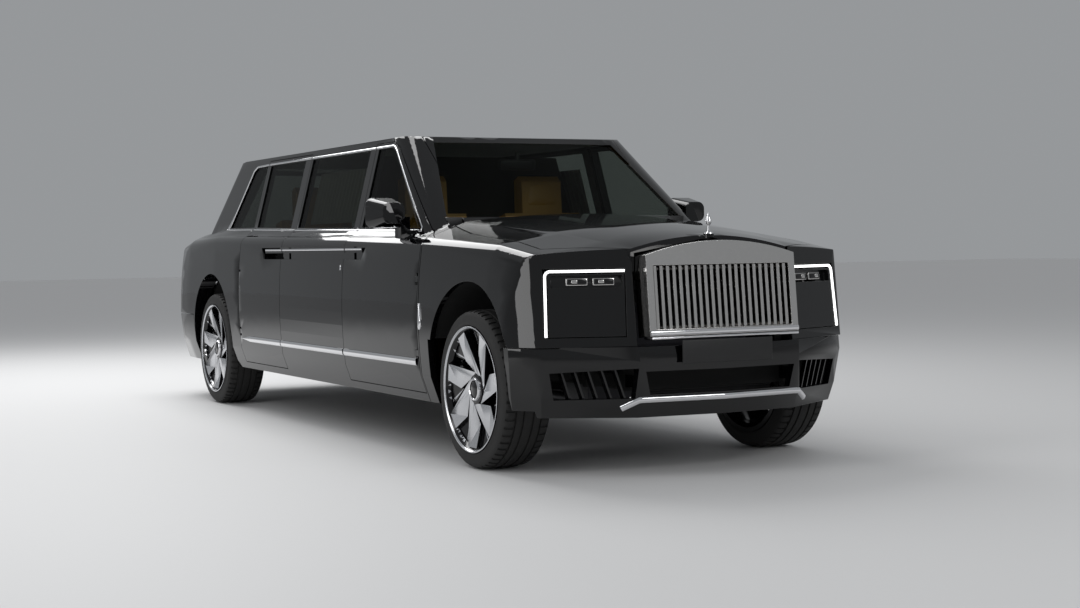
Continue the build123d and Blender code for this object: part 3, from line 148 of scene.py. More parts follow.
def object_mapping(tree, scale_mm):
    """Object coordinates scaled so that one pattern cell is about scale_mm wide."""
    coords = add_node(tree, "ShaderNodeTexCoord")
    size = 1000.0 / scale_mm
    return add_node(tree, "ShaderNodeMapping", {"Scale": (size, size, size)},
                    {"Vector": coords.outputs["Object"]}).outputs["Vector"]


print("black paint hex 060607 is", [round(c, 5) for c in linear("#060607")[:3]])

# %% [markdown]
# The car's skin is black enamel under clear lacquer, sprayed and polished. Both layers are so
# smooth that the eye sees one gloss over black. Sprayed lacquer is never quite flat, so a
# faint bump with cells a few millimetres wide makes the reflections swim a little.

# %% Black lacquer
PEEL_MM, PEEL_STRENGTH, PEEL_DEPTH = 9.0, 0.05, 0.00004


def lacquer(name, hex_code, roughness):
    """Sprayed enamel under a clear polished coat."""
    material, tree, out = start_material(name)
    peel = add_node(tree, "ShaderNodeTexNoise", {"Scale": 1.0, "Detail": 1.0},
                    {"Vector": object_mapping(tree, PEEL_MM)})
    bump = add_node(tree, "ShaderNodeBump", {"Strength": PEEL_STRENGTH, "Distance": PEEL_DEPTH},
                    {"Height": peel.outputs["Fac"]})
    shader = add_node(tree, "ShaderNodeBsdfPrincipled",
                      {"Base Color": linear(hex_code), "Roughness": roughness, "IOR": 1.5},
                      {"Normal": bump.outputs["Normal"]})
    tree.links.new(shader.outputs["BSDF"], out.inputs["Surface"])
    return material


PAINT = lacquer("black_enamel_lacquered", "#060607", 0.035)
print("lacquer ready")

# %% [markdown]
# The bright metals: chromed trim is nearly a mirror, polished stainless steel is softer
# and carries fine polishing marks, and the wheel's faces are machined alloy, a silvery grey
# whose fine marks lie about two millimetres apart. Oiled steel and cast iron, under the car,
# look dark and dull.

# %% Bright metals
LEAST_ROUGH, MOST_ROUGH = 0.7, 1.4


def bright_metal(name, hex_code, roughness, mark_mm, mark_depth):
    """A polished or plated metal with faint marks and a little unevenness in its gloss."""
    material, tree, out = start_material(name)
    marks = add_node(tree, "ShaderNodeTexNoise", {"Scale": 1.0, "Detail": 3.0},
                     {"Vector": object_mapping(tree, mark_mm)})
    gloss = add_node(tree, "ShaderNodeMapRange",
                     {"To Min": roughness * LEAST_ROUGH, "To Max": roughness * MOST_ROUGH},
                     {"Value": marks.outputs["Fac"]})
    bump = add_node(tree, "ShaderNodeBump", {"Strength": 0.1, "Distance": mark_depth},
                    {"Height": marks.outputs["Fac"]})
    shader = add_node(tree, "ShaderNodeBsdfPrincipled",
                      {"Base Color": linear(hex_code), "Metallic": 1.0},
                      {"Roughness": gloss.outputs["Result"], "Normal": bump.outputs["Normal"]})
    tree.links.new(shader.outputs["BSDF"], out.inputs["Surface"])
    return material


CHROME = bright_metal("chrome_plate", "#E4E4E6", 0.05, 40.0, 0.00002)
POLISHED = bright_metal("polished_stainless", "#CFCDCB", 0.14, 12.0, 0.00004)
MACHINED = bright_metal("machined_alloy", "#CDCED1", 0.22, 2.0, 0.00004)
BLACK_ALLOY = lacquer("gloss_black_alloy", "#08080A", 0.12)
DARK_STEEL = bright_metal("oiled_steel", "#3A3A3C", 0.45, 6.0, 0.0002)
CAST = bright_metal("cast_iron", "#55555A", 0.6, 4.0, 0.0004)
print("metals ready")

# %% [markdown]
# Glass is smoked, as on most long cars: it lets you see the seats, darker than they are. A
# pane is a thin solid with two faces, and each face tints the view once. What it mirrors
# grows with the slant of the view, about as its fifth power, and is the same from both sides
# of a face, so a pane seen at a slant doesn't turn black.

# %% Glass
GLASS_BODY, MIRROR_AT_FRONT, SLANT_POWER = "#0A0B0B", 0.043, 5.0


def smoked_glass(name, see_through):
    """A thin tinted pane: mostly see-through, with the mirror of its smooth face."""
    material, tree, out = start_material(name)
    clear = add_node(tree, "ShaderNodeBsdfTransparent", {"Color": linear(see_through)})
    gloss = add_node(tree, "ShaderNodeBsdfPrincipled",
                     {"Base Color": linear(GLASS_BODY), "Roughness": 0.02, "IOR": 1.52})
    slant = add_node(tree, "ShaderNodeLayerWeight", {"Blend": 0.5})
    steep = add_node(tree, "ShaderNodeMath", {1: SLANT_POWER}, {0: slant.outputs["Facing"]},
                     operation="POWER")
    lift = add_node(tree, "ShaderNodeMapRange", {"To Min": MIRROR_AT_FRONT, "To Max": 1.0},
                    {"Value": steep.outputs[0]})
    mix = add_node(tree, "ShaderNodeMixShader", None, {"Fac": lift.outputs["Result"]})
    tree.links.new(clear.outputs["BSDF"], mix.inputs[1])
    tree.links.new(gloss.outputs["BSDF"], mix.inputs[2])
    tree.links.new(mix.outputs["Shader"], out.inputs["Surface"])
    return material


SMOKED = smoked_glass("smoked_glass", "#B9BDBA")
SCREEN_GLASS = smoked_glass("windscreen_glass", "#D9DDDA")
print("glass ready")

# %% [markdown]
# Rubber, moulded plastic, coated underbody and trim cloth are all matt and a little
# uneven. Hide has a low gloss, and cloth a faint pale edge from its nap. One recipe serves
# them, with the grain's real width and depth given each time.

# %% Matt materials
GRAINS_A_PATCH = 30


def grained(name, hex_code, other_hex, roughness, grain_mm, depth, sheen=0.0):
    """A matt moulded or woven surface whose colour and height vary with a grain."""
    material, tree, out = start_material(name)
    grain = add_node(tree, "ShaderNodeTexNoise", {"Scale": 1.0, "Detail": 4.0},
                     {"Vector": object_mapping(tree, grain_mm)})
    wide = add_node(tree, "ShaderNodeTexNoise", {"Scale": 1.0, "Detail": 2.0},
                    {"Vector": object_mapping(tree, grain_mm * GRAINS_A_PATCH)})
    colour = add_node(tree, "ShaderNodeMix", {6: linear(hex_code), 7: linear(other_hex)},
                      {0: wide.outputs["Fac"]}, data_type="RGBA")
    bump = add_node(tree, "ShaderNodeBump", {"Strength": 0.5, "Distance": depth},
                    {"Height": grain.outputs["Fac"]})
    shader = add_node(tree, "ShaderNodeBsdfPrincipled",
                      {"Roughness": roughness, "Sheen Weight": sheen, "IOR": 1.5},
                      {"Base Color": colour.outputs[2], "Normal": bump.outputs["Normal"]})
    tree.links.new(shader.outputs["BSDF"], out.inputs["Surface"])
    return material


RUBBER = grained("tyre_rubber", "#141414", "#1D1C1B", 0.72, 1.5, 0.0002)
SOFT_PLASTIC = grained("moulded_black_plastic", "#0E0E0F", "#151516", 0.45, 1.2, 0.0001)
UNDERBODY = grained("stone_chip_coating", "#0D0D0D", "#171716", 0.85, 3.0, 0.0008)
TRIM_CLOTH = grained("trim_cloth", "#2A2522", "#332D29", 0.9, 1.5, 0.0003, 0.3)
BLIND_CLOTH = grained("pale_blind_cloth", "#77756F", "#827F78", 0.9, 1.5, 0.0003, 0.3)
TAN_HIDE = grained("tan_hide", "#A97B2F", "#B98A3C", 0.48, 2.2, 0.0003)
DARK_HIDE = grained("black_hide", "#131314", "#1B1B1C", 0.5, 2.2, 0.0003)
print("matt materials ready")

# %% [markdown]
# The running light is a white strip that glows evenly along its length. Its light is set
# as an emission colour at a strength that reads as white without flooding the nose. The
# tail lamps' lenses are deep red and glossy, and the headlamp panels are gloss black.

# %% Lamp materials
def glowing(name, hex_code, strength):
    """A lit diffuser."""
    material, tree, out = start_material(name)
    shader = add_node(tree, "ShaderNodeBsdfPrincipled",
                      {"Base Color": linear(hex_code), "Roughness": 0.3,
                       "Emission Color": linear(hex_code), "Emission Strength": strength})
    tree.links.new(shader.outputs["BSDF"], out.inputs["Surface"])
    return material


GLOW = glowing("running_light_diffuser", "#FFFFFF", 1.6)
RED_LENS = lacquer("red_lamp_lens", "#5A0608", 0.1)
LAMP_BLACK = lacquer("lamp_black_gloss", "#070708", 0.12)
print("lamp materials ready")

# %% [markdown]
# Each node of the frame names a slot, and each slot gets one real material. Pieces that we
# add ride on the body that carries them, and are given their material directly.

# %% Which material each slot gets
FINISHES = {"gloss_black_paint": PAINT, "tinted_glass": SMOKED, "polished_steel": POLISHED,
            "chrome_trim": CHROME, "machined_rim": BLACK_ALLOY, "tyre_rubber": RUBBER,
            "lamp_black": LAMP_BLACK, "lamp_white": GLOW, "lamp_red": RED_LENS,
            "tan_leather": TAN_HIDE, "dark_leather": DARK_HIDE, "dark_trim": TRIM_CLOTH,
            "underbody_black": UNDERBODY, "running_gear_steel": DARK_STEEL, "cast_metal": CAST}


def own_piece(name, mesh, body, material):
    """Links a finished mesh as a piece of the car that rides on one body."""
    piece = bpy.data.objects.new(name, mesh)
    bpy.context.scene.collection.objects.link(piece)
    if not mesh.materials:
        mesh.materials.append(material)
    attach(piece, body)
    return piece


def write_form(form, mesh, bend_deg=None):
    """Writes a form into a mesh; with bend_deg, smooth where faces meet at less than that."""
    if bend_deg is not None:
        for face in form.faces:
            face.smooth = True
    form.to_mesh(mesh)
    form.free()
    if bend_deg is not None:
        mesh.set_sharp_from_angle(angle=math.radians(bend_deg))
    return mesh


print("materials for", len(FINISHES), "slots")

# %% [markdown]
# The solids carry flat facets where their rounded sheet metal was divided. A merged copy
# of each visible solid is shaded smooth across gentle bends and keeps its real edges,
# which get the two millimetre radius of folded sheet. The copy stands for the solid. The
# front bumper's corners are also raised and drawn back a little, to lie flush under the lamps.

# %% Dress a solid with smooth shading and folded edges
SAME_SPOT, NO_LENGTH = 0.00003, 0.00001
SHEET_BEND, FOLD, FOLD_FROM = 24.0, 0.002, 40.0


def smooth_copy(node, bend_deg):
    """A merged copy of a solid's mesh, smooth where its faces meet at less than bend_deg."""
    mesh = frame["nodes"][node].data.copy()
    mesh.name = node + "_dressed"
    mesh.materials.clear()
    form = bmesh.new()
    form.from_mesh(mesh)
    bmesh.ops.remove_doubles(form, verts=form.verts, dist=SAME_SPOT)
    bmesh.ops.dissolve_degenerate(form, edges=form.edges, dist=NO_LENGTH)
    for face in form.faces:
        face.material_index = 0
    return write_form(form, mesh, bend_deg)


def soften_edges(piece, name, width, from_deg, harden):
    """Rounds every edge of a piece that is sharper than from_deg."""
    fold = piece.modifiers.new(name, "BEVEL")
    fold.width, fold.segments, fold.limit_method = width, 2, "ANGLE"
    fold.angle_limit = math.radians(from_deg)
    fold.harden_normals = harden


def dress(node, edge):
    """Stands a smooth copy with softened edges in for a solid."""
    slot = slot_of_node[node]
    piece = own_piece(node + "_dressed", smooth_copy(node, SHEET_BEND), body_of_node[node],
                      FINISHES[slot])
    soften_edges(piece, "folded_edges", edge, FOLD_FROM, True)
    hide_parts(node)
    return piece


PANELS = [n for n in slot_of_node if slot_of_node[n] in ("gloss_black_paint", "polished_steel")]
MOULDED = ["headlamps", "dashboard", "steering_wheel"]
OTHER_EDGES = {"grille_frame": 0.004, "grille_vanes": 0.005, "headlamps": 0.003, "dashboard": 0.012,
               "steering_wheel": 0.003}
dressed = {n: dress(n, OTHER_EDGES.get(n, FOLD)) for n in PANELS + MOULDED}

# The nose leans back by this share of its height.
NOSE_LEAN = 0.12
BUMPER_IN, BUMPER_OUT, DRAWN_BACK = 0.43, 0.86, 0.056
CORNER_Y, CORNER_LOW, CORNER_TOP, CORNER_RISE = -3.0895, 0.5745, 0.5815, 0.056
for v in dressed["front_bumper"].data.vertices:
    if v.co.y > CORNER_Y and CORNER_LOW < v.co.z < CORNER_TOP:
        v.co.z += CORNER_RISE
        v.co.y += CORNER_RISE * NOSE_LEAN
    share = min(1.0, max(0.0, (abs(v.co.x) - BUMPER_IN) / (BUMPER_OUT - BUMPER_IN)))
    v.co.y += DRAWN_BACK * share * share * (3.0 - 2.0 * share)
print("dressed", len(dressed), "pieces")

# %% [markdown]
# Inside, a car isn't painted: doors and pillars are lined with hide and cloth. The faces of
# the dressed panels that look into the cabin take the lining's material.

# %% Line the insides of doors, pillars and roof
def line_inside(node, material, looks_in):
    """Gives the lining's material to the faces for which looks_in is true."""
    mesh = dressed[node].data
    mesh.materials.append(material)
    count = 0
    for face in mesh.polygons:
        if looks_in(face.normal, face.center):
            face.material_index = 1
            count += 1
    return count


CABIN_START, FACING_DOWN, FACING_IN = front(600.0), -0.5, -0.4
lined = line_inside("roof", TRIM_CLOTH, lambda n, c: n.z < FACING_DOWN)
for name, side in SIDES:
    for node, cover in ((f"door_front_{name}", DARK_HIDE), (f"door_rear_{name}", DARK_HIDE),
                        (f"body_side_{name}", TRIM_CLOTH)):
        lined += line_inside(node, cover, lambda n, c, s=side: n.x * s < FACING_IN and c.y > CABIN_START)
print("lined", lined, "faces")

# %% [markdown]
# Bright trim follows the sheet metal, so we find the metal by casting rays at it: one
# function looks at the side of the car from outside, another looks at its nose or tail
# from ahead or behind. Each gives the place on the surface and which way it faces.

# %% Find places on the skin
BESIDE, BEYOND = 1.5, 5.0


def tree_of(pieces):
    """One search tree over the faces of several pieces."""
    verts, faces = [], []
    for piece in pieces:
        start = len(verts)
        verts += [v.co.copy() for v in piece.data.vertices]
        faces += [[start + i for i in f.vertices] for f in piece.data.polygons]
    return BVHTree.FromPolygons(verts, faces)


def on_side(tree, side, y, z):
    """The place on one side of the car at a place along it and a height, and its normal."""
    place, normal, _, _ = tree.ray_cast(Vector((side * BESIDE, y, z)), Vector((-side, 0.0, 0.0)))
    if place is None:
        raise ValueError(f"no metal at y {y:.3f} z {z:.3f}")
    return place, normal if normal.x * side > 0 else -normal


def on_face(tree, heading, x, z):
    """The place on the nose (heading 1) or tail (heading -1), and its normal."""
    place, normal, _, _ = tree.ray_cast(Vector((x, -heading * BEYOND, z)), Vector((0.0, heading, 0.0)))
    if place is None:
        raise ValueError(f"no metal at x {x:.3f} z {z:.3f}")
    return place, normal if normal.y * heading < 0 else -normal


def spread(points, step=0.05):
    """The same polyline with points no further apart than step."""
    out = [Vector(points[0])]
    for a, b in zip(points, points[1:]):
        a, b = Vector(a), Vector(b)
        n = max(1, math.ceil((b - a).length / step))
        out += [a.lerp(b, (i + 1) / n) for i in range(n)]
    return out


skins = {name: tree_of([dressed[f"door_front_{name}"], dressed[f"door_rear_{name}"],
                        dressed[f"body_side_{name}"], dressed["front_fenders"]]) for name, _ in SIDES}
print("side skins ready, shoulder at", rounded(on_side(skins["left"], 1, front(590.0), 0.76)[0]))

# %% [markdown]
# Drawn trim has a crowned section: flat at its foot and rounded over. One function lays such
# a strip along a path of places on the skin and closes its ends.

# %% Strips of trim
bright_parts = []
TRIM_BEND = 50.0
CROWNED = ((-0.5, -0.4), (-0.46, 0.55), (-0.3, 0.9), (0.0, 1.0), (0.3, 0.9), (0.46, 0.55), (0.5, -0.4))


def moulding(name, path, body, material, width, rise, widths=None):
    """A strip of crowned section laid along (place, normal) pairs, capped at its ends.

    width and rise are its section; widths can scale it along the path, to a point."""
    form = bmesh.new()
    n, m = len(path), len(CROWNED)
    bmesh.ops.create_grid(form, x_segments=n - 1, y_segments=m - 1, size=1.0)
    form.verts.ensure_lookup_table()
    for i, (place, normal) in enumerate(path):
        ahead_of = path[min(i + 1, n - 1)][0] - path[max(i - 1, 0)][0]
        across = ahead_of.cross(normal).normalized()
        scale = widths[i] if widths else 1.0
        for j, (a, h) in enumerate(CROWNED):
            form.verts[j * n + i].co = place + across * (a * width * scale) + normal * (h * rise)
    bmesh.ops.contextual_create(form, geom=[e for e in form.edges if e.is_boundary])
    bmesh.ops.recalc_face_normals(form, faces=form.faces)
    mesh = write_form(form, bpy.data.meshes.new(name), TRIM_BEND)
    piece = own_piece(name, mesh, body, material)
    bright_parts.append(name)
    return piece


print("strip section of", len(CROWNED), "points")

# %% [markdown]
# Chromed strips frame the side windows, top and bottom, and a polished strip runs low along
# the doors to a point ahead of the rear wheel. Each strip stops at the door gaps, so that
# every door carries its own piece of it.

# %% Window frames, belt strips and sill strips
TOP = 1729.0
# Columns: strip, what carries it, corners as (millimetres behind the front axle, height).
FRAME_RUNS = [
    ("front_frame", "door_front", [(1750.0, 1238.0), (776.0, 1221.0), (788.0, 1240.0), (1411.0, 1699.0),
                                   (1447.0, 1719.0), (1486.0, TOP), (1750.0, TOP)]),
    ("middle_frame_low", "body", [(1765.0, 1238.0), (2905.0, 1254.0)]),
    ("middle_frame_top", "body", [(1765.0, TOP), (2905.0, TOP)]),
    ("rear_frame_low", "door_rear", [(2919.0, 1254.0), (3797.0, 1270.0)]),
    ("rear_frame_top", "door_rear", [(2919.0, TOP), (3797.0, TOP)]),
    ("quarter_frame", "body", [(3810.0, 1270.0), (4429.0, 1277.0), (4423.0, 1292.0), (4145.0, 1698.0),
                               (4079.0, 1725.0), (3810.0, TOP)]),
]
FRAME_WIDTH, FRAME_RISE = 0.013, 0.004
SILL_Z, SILL_WIDTH, SILL_RISE = 0.512, 0.042, 0.010
SILL_END, POINT_LENGTH, POINT_SHARE = 3771.0, 0.18, 0.06
SILL_RUNS = [("sill_strip_front", "door_front", 650.0, 1749.0),
             ("sill_strip_middle", "body", 1766.0, 2909.0),
             ("sill_strip_rear", "door_rear", 2921.0, SILL_END)]
HANDLE_Z, HANDLE_FACE, HANDLE_WIDTH, HANDLE_RISE = 1.125, 0.966, 0.012, 0.003
HANDLE_RUNS = [("handle_edge_front", "door_front", 1480.0, 1750.0),
               ("handle_edge_middle", "body", 1766.0, 2905.0),
               ("handle_edge_rear", "door_rear", 2921.0, 3255.0)]
# Columns: strip, millimetres behind the front axle, foot, step up, width, rise, its widths.
UPRIGHTS = [("fender_flash", 585.0, 0.69, 0.014, 0.034, 0.009,
             [0.35, 0.8, 1.0, 1.0, 0.9, 0.8, 0.7, 0.6, 0.5, 0.4, 0.2]),
            ("lock_cover", 1800.0, 1.0, 0.006, 0.016, 0.004, [0.4, 0.9, 1.0, 1.0, 0.9, 0.4])]


def side_body(kind, name):
    """The moving body's name on one side, or the car's own."""
    return "body" if kind == "body" else f"{kind}_{name}"


def side_strip(label, kind, name, path, width, rise, widths=None):
    """A chromed strip on one side of the car."""
    moulding(f"{label}_{name}", path, side_body(kind, name), CHROME, width, rise, widths)


for name, side in SIDES:
    skin = skins[name]
    for label, kind, run in FRAME_RUNS:
        flat = spread([(front(y), z / 1000) for y, z in run], 0.04)
        path = [on_side(skin, side, p[0], p[1]) for p in flat]
        side_strip(label, kind, name, path, FRAME_WIDTH, FRAME_RISE)
    for label, kind, start, end in SILL_RUNS:
        flat = spread([(front(start), SILL_Z), (front(end), SILL_Z)])
        path = [on_side(skin, side, p[0], p[1]) for p in flat]
        widths = [min(1.0, max(POINT_SHARE, (front(SILL_END) - p[0]) / POINT_LENGTH)) for p in flat]
        side_strip(label, kind, name, path, SILL_WIDTH, SILL_RISE, widths)
    for label, kind, start, end in HANDLE_RUNS:
        out = Vector((side, 0.0, 0.0))
        path = [(Vector((side * HANDLE_FACE, front(y), HANDLE_Z)), out)
                for y in (start, (start + end) / 2, end)]
        side_strip(label, kind, name, path, HANDLE_WIDTH, HANDLE_RISE)
    for label, behind, foot, step, width, rise, widths in UPRIGHTS:
        path = [on_side(skin, side, front(behind), foot + step * i) for i in range(len(widths))]
        side_strip(label, "body", name, path, width, rise, widths)
print("bright side trim", len(bright_parts), "pieces")

# %% [markdown]
# Small moulded and cast pieces are blocks with rounded edges, since no real edge is sharp.

# %% Rounded blocks
HARD_BEND = 35.0


def block_form(size, radius, segments):
    """A block about the origin with all its edges rounded."""
    form = bmesh.new()
    bmesh.ops.create_cube(form, size=1.0)
    bmesh.ops.scale(form, vec=size, verts=form.verts)
    bmesh.ops.bevel(form, geom=form.edges, offset=radius, segments=segments, profile=0.5,
                    affect="EDGES", material=-1)
    return form


def rounded_block(name, centre, size, radius, body, material, turn=None):
    """A block with rounded edges as a piece of its own."""
    form = block_form(size, radius, 3)
    if turn is not None:
        bmesh.ops.rotate(form, cent=(0, 0, 0), matrix=turn, verts=form.verts)
    bmesh.ops.translate(form, vec=centre, verts=form.verts)
    mesh = write_form(form, bpy.data.meshes.new(name), HARD_BEND)
    return own_piece(name, mesh, body, material)


def black_block(name, centre, size, radius, body="body", turn=None):
    """A rounded block of black moulded plastic."""
    return rounded_block(name, centre, size, radius, body, SOFT_PLASTIC, turn)


print("rounded blocks ready")

# %% [markdown]
# Across the nose: a bright bar along the foot of the grille with a slimmer one below it,
# and a low bar under the air intake whose ends turn down. The front plate is a blank dark
# plate on the bumper, and a dark screen with three slats closes the intake behind it.

# %% Nose and tail bars, blank plate and intake screen
def face_bar(name, node, heading, corners, step, width, rise):
    """A chromed bar laid on the front or back of a dressed bumper."""
    tree = tree_of([dressed[node]])
    path = [on_face(tree, heading, p[0], p[1]) for p in spread(corners, step)]
    moulding(name, path, "body", CHROME, width, rise)


face_bar("nose_low_bar", "front_bumper", 1,
         [(-0.53, 0.345), (-0.46, 0.386), (0.46, 0.386), (0.53, 0.345)], 0.03, 0.034, 0.016)
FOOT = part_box("grille_frame")[0][1] + 0.001
GRILLE_LEAN = math.tan(math.radians(5.5))
GRILLE_FOOT_Z = 0.69
# Columns: bar, height, half length, width.
for label, z, half, width in (("grille_foot_bar", 0.705, 0.428, 0.024),
                              ("grille_lip_bar", 0.680, 0.424, 0.013)):
    y = FOOT + (z - GRILLE_FOOT_Z) * GRILLE_LEAN
    path = [(Vector((half * k, y, z)), Vector((0.0, -1.0, 0.0))) for k in (-1, -0.5, 0, 0.5, 1)]
    moulding(label, path, "body", CHROME, width, 0.008)
rounded_block("grille_lip", (0.0, FOOT + 0.03, 0.681), (0.86, 0.06, 0.016), 0.004, "body",
              BLACK_ALLOY)
PLATE_W, PLATE_H = 0.52, 0.112
black_block("front_plate", (0.0, front(-897.0), 0.610), (PLATE_W, 0.008, PLATE_H), 0.003)
black_block("front_plate_mount", (0.0, front(-880.0), 0.600), (PLATE_W - 0.06, 0.03, PLATE_H - 0.03),
            0.006)
black_block("intake_screen", (0.0, front(-670.0), 0.450), (0.80, 0.006, 0.150), 0.002)
for i in range(3):
    black_block(f"intake_slat_{i}", (0.0, front(-682.0), 0.415 + 0.035 * i), (0.79, 0.016, 0.007), 0.002)
face_bar("tail_low_bar", "rear_bumper", -1,
         [(-0.62, 0.40), (-0.55, 0.425), (0.55, 0.425), (0.62, 0.40)], 0.04, 0.020, 0.010)
print("nose and tail trim placed, bright pieces", len(bright_parts))

# %% [markdown]
# A cast wheel of this kind is lacquered black all over and then put on a lathe, which cuts
# the outer facets of the blades bright and leaves the sunk pockets black. A face of the
# solid is bright when its middle lies on one of a blade's three outer facets, or on the
# flat edge of the rim.

# %% Machine the wheels' faces
BLADES = 7
# Columns: degrees round the wheel, radius, height out.
SPOTS = {"rim_lead": (3.0, 0.300, 0.962), "rim_pocket": (20.0, 0.300, 0.958),
         "apex": (28.0, 0.182, 0.936),
         "hub_trail": (-20.0, 0.084, 0.926), "hub_lead": (-70.0, 0.084, 0.932)}
BRIGHT_FACETS = (("rim_lead", "rim_pocket", "apex"), ("rim_lead", "apex", "hub_lead"),
                 ("apex", "hub_trail", "hub_lead"))
LIP_RADIUS, LIP_OUT, LIP_FACING = 0.3095, 0.94, 0.2
BLADE_FROM, BLADE_TO, BLADE_FACING, ON_FACET = 0.08, 0.302, 0.5, 0.0006
CAST_BEND, CAST_EDGE, CAST_FROM = 20.0, 0.0012, 25.0


def wheel_spot(turn, radius, height):
    """A point about the wheel's middle: outward, along the car, up."""
    angle = math.radians(turn)
    return Vector((height, -radius * math.cos(angle), radius * math.sin(angle)))


def machine_faces(node, side, axle_y):
    """A dressed copy of a wheel with its outer facets and its rim's edge machined bright."""
    mesh = smooth_copy(node, CAST_BEND)
    mesh.materials.append(BLACK_ALLOY)
    mesh.materials.append(MACHINED)
    facets = []
    for names in BRIGHT_FACETS:
        a, b, c = (wheel_spot(*SPOTS[n]) for n in names)
        facets.append((a, (b - a).cross(c - a).normalized()))
    blades = [Matrix.Rotation(math.radians(k * 360.0 / BLADES), 3, "X") for k in range(BLADES)]
    bright = 0
    for face in mesh.polygons:
        middle = Vector((face.center.x * side, face.center.y - axle_y, face.center.z - TYRE_R))
        radius = math.hypot(middle.y, middle.z)
        facing = face.normal.x * side
        lip = radius > LIP_RADIUS and middle.x > LIP_OUT and facing > LIP_FACING
        on_blade = facing > BLADE_FACING and BLADE_FROM < radius < BLADE_TO and any(
            abs((turn @ middle - spot).dot(normal)) < ON_FACET
            for turn in blades for spot, normal in facets)
        if lip or on_blade:
            face.material_index = 1
            bright += 1
    piece = own_piece(node + "_dressed", mesh, body_of_node[node], BLACK_ALLOY)
    soften_edges(piece, "cast_edges", CAST_EDGE, CAST_FROM, False)
    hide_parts(node)
    return bright


print("blade facets taken from", len(SPOTS), "spots")

# %% [markdown]
# Wheel caps and tyres are turned bodies. One function spins a profile round an axle. The
# cap is gloss black with a chromed ring round it, and carries no mark.

# %% Machine the wheels and cap them
def spun(name, profile, axis_point, side, steps, body, material):
    """A turned piece: a profile of (height out, radius) points spun about a wheel's axle."""
    form = bmesh.new()
    spots = [form.verts.new((side * x, axis_point.y, axis_point.z + r)) for x, r in profile]
    rim = [form.edges.new(pair) for pair in zip(spots, spots[1:])]
    bmesh.ops.spin(form, geom=spots + rim, cent=axis_point, axis=(1, 0, 0), angle=math.tau, steps=steps,
                   use_merge=True)
    bmesh.ops.remove_doubles(form, verts=form.verts, dist=0.00002)
    bmesh.ops.recalc_face_normals(form, faces=form.faces)
    mesh = write_form(form, bpy.data.meshes.new(name), HARD_BEND)
    return own_piece(name, mesh, body, material)


AXLES = (("front", FRONT_AXLE), ("rear", REAR_AXLE))
CAP_STEPS = 48
CAP = [(0.935, 0.0), (0.952, 0.0), (0.9515, 0.030), (0.948, 0.040), (0.940, 0.044), (0.930, 0.044)]
CAP_RING = [(0.930, 0.046), (0.950, 0.046), (0.953, 0.050), (0.952, 0.056), (0.946, 0.060),
            (0.926, 0.060)]
bright_faces = 0
for end, axle_y in AXLES:
    for name, side in SIDES:
        hub, wheel = Vector((0.0, axle_y, TYRE_R)), f"wheel_{end}_{name}"
        bright_faces += machine_faces(f"rim_{end}_{name}", side, axle_y)
        spun(f"wheel_cap_{end}_{name}", CAP, hub, side, CAP_STEPS, wheel, BLACK_ALLOY)
        spun(f"wheel_cap_ring_{end}_{name}", CAP_RING, hub, side, CAP_STEPS, wheel, CHROME)
print("machined", bright_faces, "faces on four wheels")

# %% [markdown]
# Low tyres on big wheels show a narrow side wall with a raised rim guard, and a road tread
# of three long grooves cut across by short ones at the shoulders. The profile is spun once
# round the axle, and every third step of each shoulder is then pressed in.

# %% Tyres
TYRE_WIDTH = 0.275
TYRE_MIDDLE = WHEEL_FACE - TYRE_WIDTH / 2
SHOULDER_STEPS, GROOVE_EVERY, GROOVE = 168, 3, 0.006
SHOULDER_RADIUS, SHOULDER_FROM, SHOULDER_TO, TREAD_BEND = 0.392, 0.078, 0.124, 40.0
# Columns: place across from the middle, radius, from the bead to the middle of the tread.
half_profile = [(0.1055, 0.308), (0.1185, 0.307), (0.1265, 0.3235), (0.1345, 0.327), (0.1362, 0.334),
                (0.1335, 0.340), (0.1320, 0.352), (0.1310, 0.372), (0.1280, 0.384), (0.1215, 0.3935),
                (0.1130, 0.3985), (0.1020, 0.4015), (0.0760, 0.4038), (0.0740, 0.3965), (0.0660, 0.3965),
                (0.0640, 0.4043), (0.0330, 0.4049), (0.0310, 0.3975), (0.0230, 0.3975), (0.0210, 0.4050)]
profile = [(TYRE_MIDDLE + x, r) for x, r in half_profile]
profile += [(TYRE_MIDDLE - x, r) for x, r in reversed(half_profile)]


def press_shoulders(mesh, axle_y):
    """Presses every third step of both shoulders in, as short cross grooves."""
    form = bmesh.new()
    form.from_mesh(mesh)
    cells = []
    for face in form.faces:
        middle = face.calc_center_median()
        radius = math.hypot(middle.y - axle_y, middle.z - TYRE_R)
        across = abs(abs(middle.x) - TYRE_MIDDLE)
        turn = math.atan2(middle.y - axle_y, middle.z - TYRE_R) / math.tau * SHOULDER_STEPS
        on_shoulder = radius > SHOULDER_RADIUS and SHOULDER_FROM < across < SHOULDER_TO
        if on_shoulder and math.floor(turn) % GROOVE_EVERY == 0:
            cells.append(face)
    pressed = bmesh.ops.extrude_face_region(form, geom=cells)
    for v in (v for v in pressed["geom"] if isinstance(v, bmesh.types.BMVert)):
        inward = Vector((0.0, axle_y - v.co.y, TYRE_R - v.co.z)).normalized()
        v.co += inward * GROOVE
    bmesh.ops.delete(form, geom=cells, context="FACES_ONLY")
    bmesh.ops.recalc_face_normals(form, faces=form.faces)
    write_form(form, mesh, TREAD_BEND)


for end, axle_y in AXLES:
    for name, side in SIDES:
        tyre = spun(f"tread_{end}_{name}", profile, Vector((0.0, axle_y, TYRE_R)), side, SHOULDER_STEPS,
                    f"wheel_{end}_{name}", RUBBER)
        press_shoulders(tyre.data, axle_y)
        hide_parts(f"tyre_{end}_{name}")
print("tyres", len(profile), "points round", SHOULDER_STEPS, "steps")

